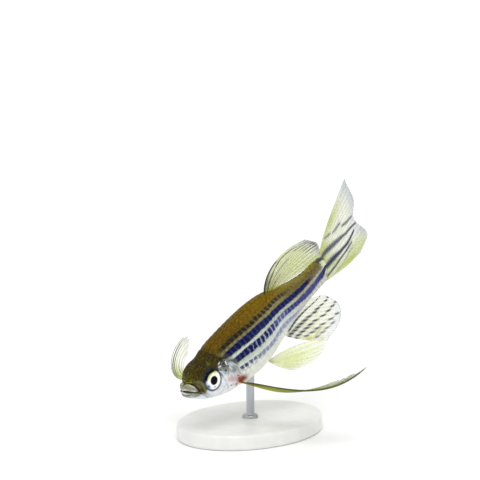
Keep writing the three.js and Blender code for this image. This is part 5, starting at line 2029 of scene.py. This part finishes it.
@dataclass(frozen=True)
class Stand:
    """An oval lacquered base with rounded edges, and one slim steel rod up to the belly."""

    half_long: float = 12.0
    half_wide: float = 9.0
    thickness: float = 2.2
    bevel: float = 0.45
    rod_radius: float = 0.6
    rod_low: float = 2.0
    rod_top: float = 8.75
    collar_radius: float = 1.15
    collar_height: float = 0.45
    slope: float = 0.4452
    round_count: int = 160
    rod_round_count: int = 64

    def base(self, material: Material) -> Piece:
        """The base: ovals whose margin follows quarter circles at the lower and the upper edge.

        Args:
            material: The base's finish.
        Returns:
            The base.
        """
        quarter = np.linspace(0, np.pi / 2, 10)
        out, up = self.bevel * np.sin(quarter), self.bevel * np.cos(quarter)
        low = np.stack([-self.bevel + out, self.bevel - up], 1)
        high = np.stack([-self.bevel + up, self.thickness - self.bevel + out], 1)
        steps = (7.5, 4.0, 1.2, 0.3)
        flat = [(-self.bevel - step, 0.0) for step in steps]
        top = [(-self.bevel - step, self.thickness) for step in reversed(steps)]
        edge = np.concatenate([flat, low, high, top])
        turn = circle(self.round_count)[None]
        inset, level = edge[:, :1], edge[:, 1:]
        rings = np.stack([(self.half_long + inset) * np.cos(turn), (self.half_wide + inset) * np.sin(turn),
                          level + 0 * turn], -1) * MILLIMETRE
        poles = (np.zeros(3), np.array([0, 0, self.thickness * MILLIMETRE]))
        shape = Shape.tube(rings, {"edge": level + 0 * turn}, poles)
        return shape.faced_out().build("display_base", None, material)

    def rod(self, material: Material) -> Piece:
        """The rod: a small turned collar, then a straight shaft whose top is cut to the belly's slope.

        Args:
            material: The rod's finish.
        Returns:
            The rod.
        """
        r, c = self.rod_radius, self.collar_radius
        floor, rise, end = self.thickness, self.collar_height, self.rod_top
        collar = [(c * 0.98, self.rod_low), (c, floor), (c, floor + rise * 0.55),
                  (c * 0.97, floor + rise * 0.8), (c * 0.86, floor + rise), (r * 1.12, floor + rise),
                  (r, floor + rise + 0.12)]
        profile = np.array(collar + [(r, end - 0.3), (r, end - 0.05), (r * 0.97, end)])
        turn = circle(self.rod_round_count)[None]
        radius, level = profile[:, :1], profile[:, 1:]
        across = radius * np.cos(turn)
        lean = smooth(level, self.rod_top - 1.0, self.rod_top - 0.3)
        rings = np.stack([across, radius * np.sin(turn), level + self.slope * across * lean], -1) * MILLIMETRE
        poles = (np.array([0, 0, self.rod_low]) * MILLIMETRE, np.array([0, 0, self.rod_top]) * MILLIMETRE)
        shape = Shape.tube(rings, {"edge": level + 0 * turn}, poles)
        return shape.faced_out().build("display_rod", None, material)

    def build(self) -> list[Piece]:
        """Builds base and rod, each in place of its CAD node.

        Returns:
            The two pieces.
        """
        lacquer = StandFinish("base_lacquer", (232, 232, 229), (226, 227, 224), 0.0, 0.34)
        steel = StandFinish("rod_steel", (188, 190, 194), (160, 163, 168), 1.0, 0.3, (1, 1, 0.1))
        base, rod = self.base(lacquer.build()), self.rod(steel.build())
        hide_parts("stand_base")
        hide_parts("stand_rod")
        return [base, rod]


# Studio

@dataclass(frozen=True)
class Studio:
    """A pale floor, soft light from above and all round, and the camera."""

    floor_radius: float = 4.0
    floor_rows: int = 12
    floor_round_count: int = 96
    sky: float = 0.86
    sun: float = 1.1
    sun_softness: float = 38.0
    sun_from: Colour = (-0.35, -0.3, 0.9)
    azimuth: float = -45.3
    elevation: float = 8.9
    lens: float = 135.0
    sensor: float = 36.0
    distance: float = 258.2
    aim: Colour = (-1.2, -0.45, 14.2)
    aim_right: float = -0.96
    aim_up: float = 14.02

    def floor(self) -> None:
        """A wide pale disc at the level of the base's underside."""
        graph = Graph("floor_paper")
        cloud = graph.within(graph.noise(30.0), 0.3, 0.7)
        shade = graph.mix(cloud, colour(246, 246, 246), colour(249, 249, 249))
        material = graph.finish({"Base Color": shade, "Roughness": 0.9, "Specular IOR Level": 0.0})
        count = self.floor_round_count
        rows = np.linspace(0.01, 1, self.floor_rows)[:, None] ** 2 * self.floor_radius
        turn = circle(count)[None]
        rings = np.stack([rows * np.cos(turn), rows * np.sin(turn), 0 * rows * turn], -1)
        points = np.concatenate([rings.reshape(-1, 3), np.zeros((1, 3))])
        ring = np.arange(count)
        hub = np.stack([np.full(count, len(points) - 1), ring, (ring + 1) % count], 1)
        quads = Shape.grid(self.floor_rows, count, True)[:, ::-1]
        Shape(points, quads, hub, {}).build("floor", None, material)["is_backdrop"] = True

    def light(self) -> None:
        """An even pale sky and one very soft sun from high in front on the left."""
        world = bpy.data.worlds.new("studio_sky")
        world.use_nodes = True
        background = world.node_tree.nodes["Background"]
        background.inputs["Color"].default_value = (1, 1, 1, 1)
        background.inputs["Strength"].default_value = self.sky
        bpy.context.scene.world = world
        lamp = bpy.data.lights.new("soft_sun", "SUN")
        lamp.energy = self.sun
        lamp.angle = math.radians(self.sun_softness)
        sun = bpy.data.objects.new("soft_sun", lamp)
        sun.rotation_mode = "QUATERNION"
        sun.rotation_quaternion = Vector(self.sun_from).to_track_quat("Z", "Y")
        bpy.context.scene.collection.objects.link(sun)

    def camera(self) -> None:
        """The camera, looking along the photograph's line with its framing."""
        a, e = math.radians(self.azimuth), math.radians(self.elevation)
        back = Vector((math.sin(a) * math.cos(e), -math.cos(a) * math.cos(e), math.sin(e)))
        right = Vector((math.cos(a), math.sin(a), 0))
        up = back.cross(right)
        data = bpy.data.cameras.new("camera")
        data.lens, data.sensor_width = self.lens, self.sensor
        data.clip_start, data.clip_end = 0.01, 100.0
        camera = bpy.data.objects.new("camera", data)
        aim = Vector(self.aim) + right * self.aim_right + up * self.aim_up
        camera.location = (aim + back * self.distance) * MILLIMETRE
        camera.rotation_mode = "QUATERNION"
        camera.rotation_quaternion = (-back).to_track_quat("-Z", "Y")
        bpy.context.scene.collection.objects.link(camera)
        bpy.context.scene.camera = camera

    def build(self) -> None:
        """Sets up floor, light, camera and plain colour reproduction."""
        self.floor()
        self.light()
        self.camera()
        bpy.context.scene.view_settings.view_transform = "Standard"


def corners() -> list[list[float]]:
    """The shown object's lowest and highest corner as plain lists."""
    return [list(corner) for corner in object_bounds()]


def main() -> None:
    """Builds every piece in order."""
    logging.basicConfig(level=logging.INFO, format="%(name)s %(message)s")
    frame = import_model()
    LOG.info("frame of %d nodes", len(frame["nodes"]))
    Studio().build()
    pose, form, orbit = Pose(), BodyForm(), Orbit()
    flank, head, paint = FlankMarks(), HeadMarks(), BodyPaint()
    skin = Skin(form, orbit, flank, head).build(pose, SkinFinish(paint).build())
    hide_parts("head", "lower_jaw", "operculum_left", "operculum_right", "trunk", "tail_peduncle")
    scales = ScaleCoat(form, flank, head).build(pose, ScaleFinish(paint).build())
    for piece in scales:
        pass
    eye_finish = EyeFinish().build()
    eyes = []
    for word, side in (("left", -1.0), ("right", 1.0)):
        eye = Eye(orbit).build(pose, side, f"eyeball_{word}", eye_finish)
        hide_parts(f"eye_{word}")
        eyes.append(eye)
    fins = FinSet().build(pose)
    feelers = Feelers().build(pose, FeelerFinish().build())
    stand = Stand().build()
    for piece in (skin, *scales, *eyes, *fins, *feelers, *stand):
        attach(piece, "root")


if __name__ == "__main__":
    main()
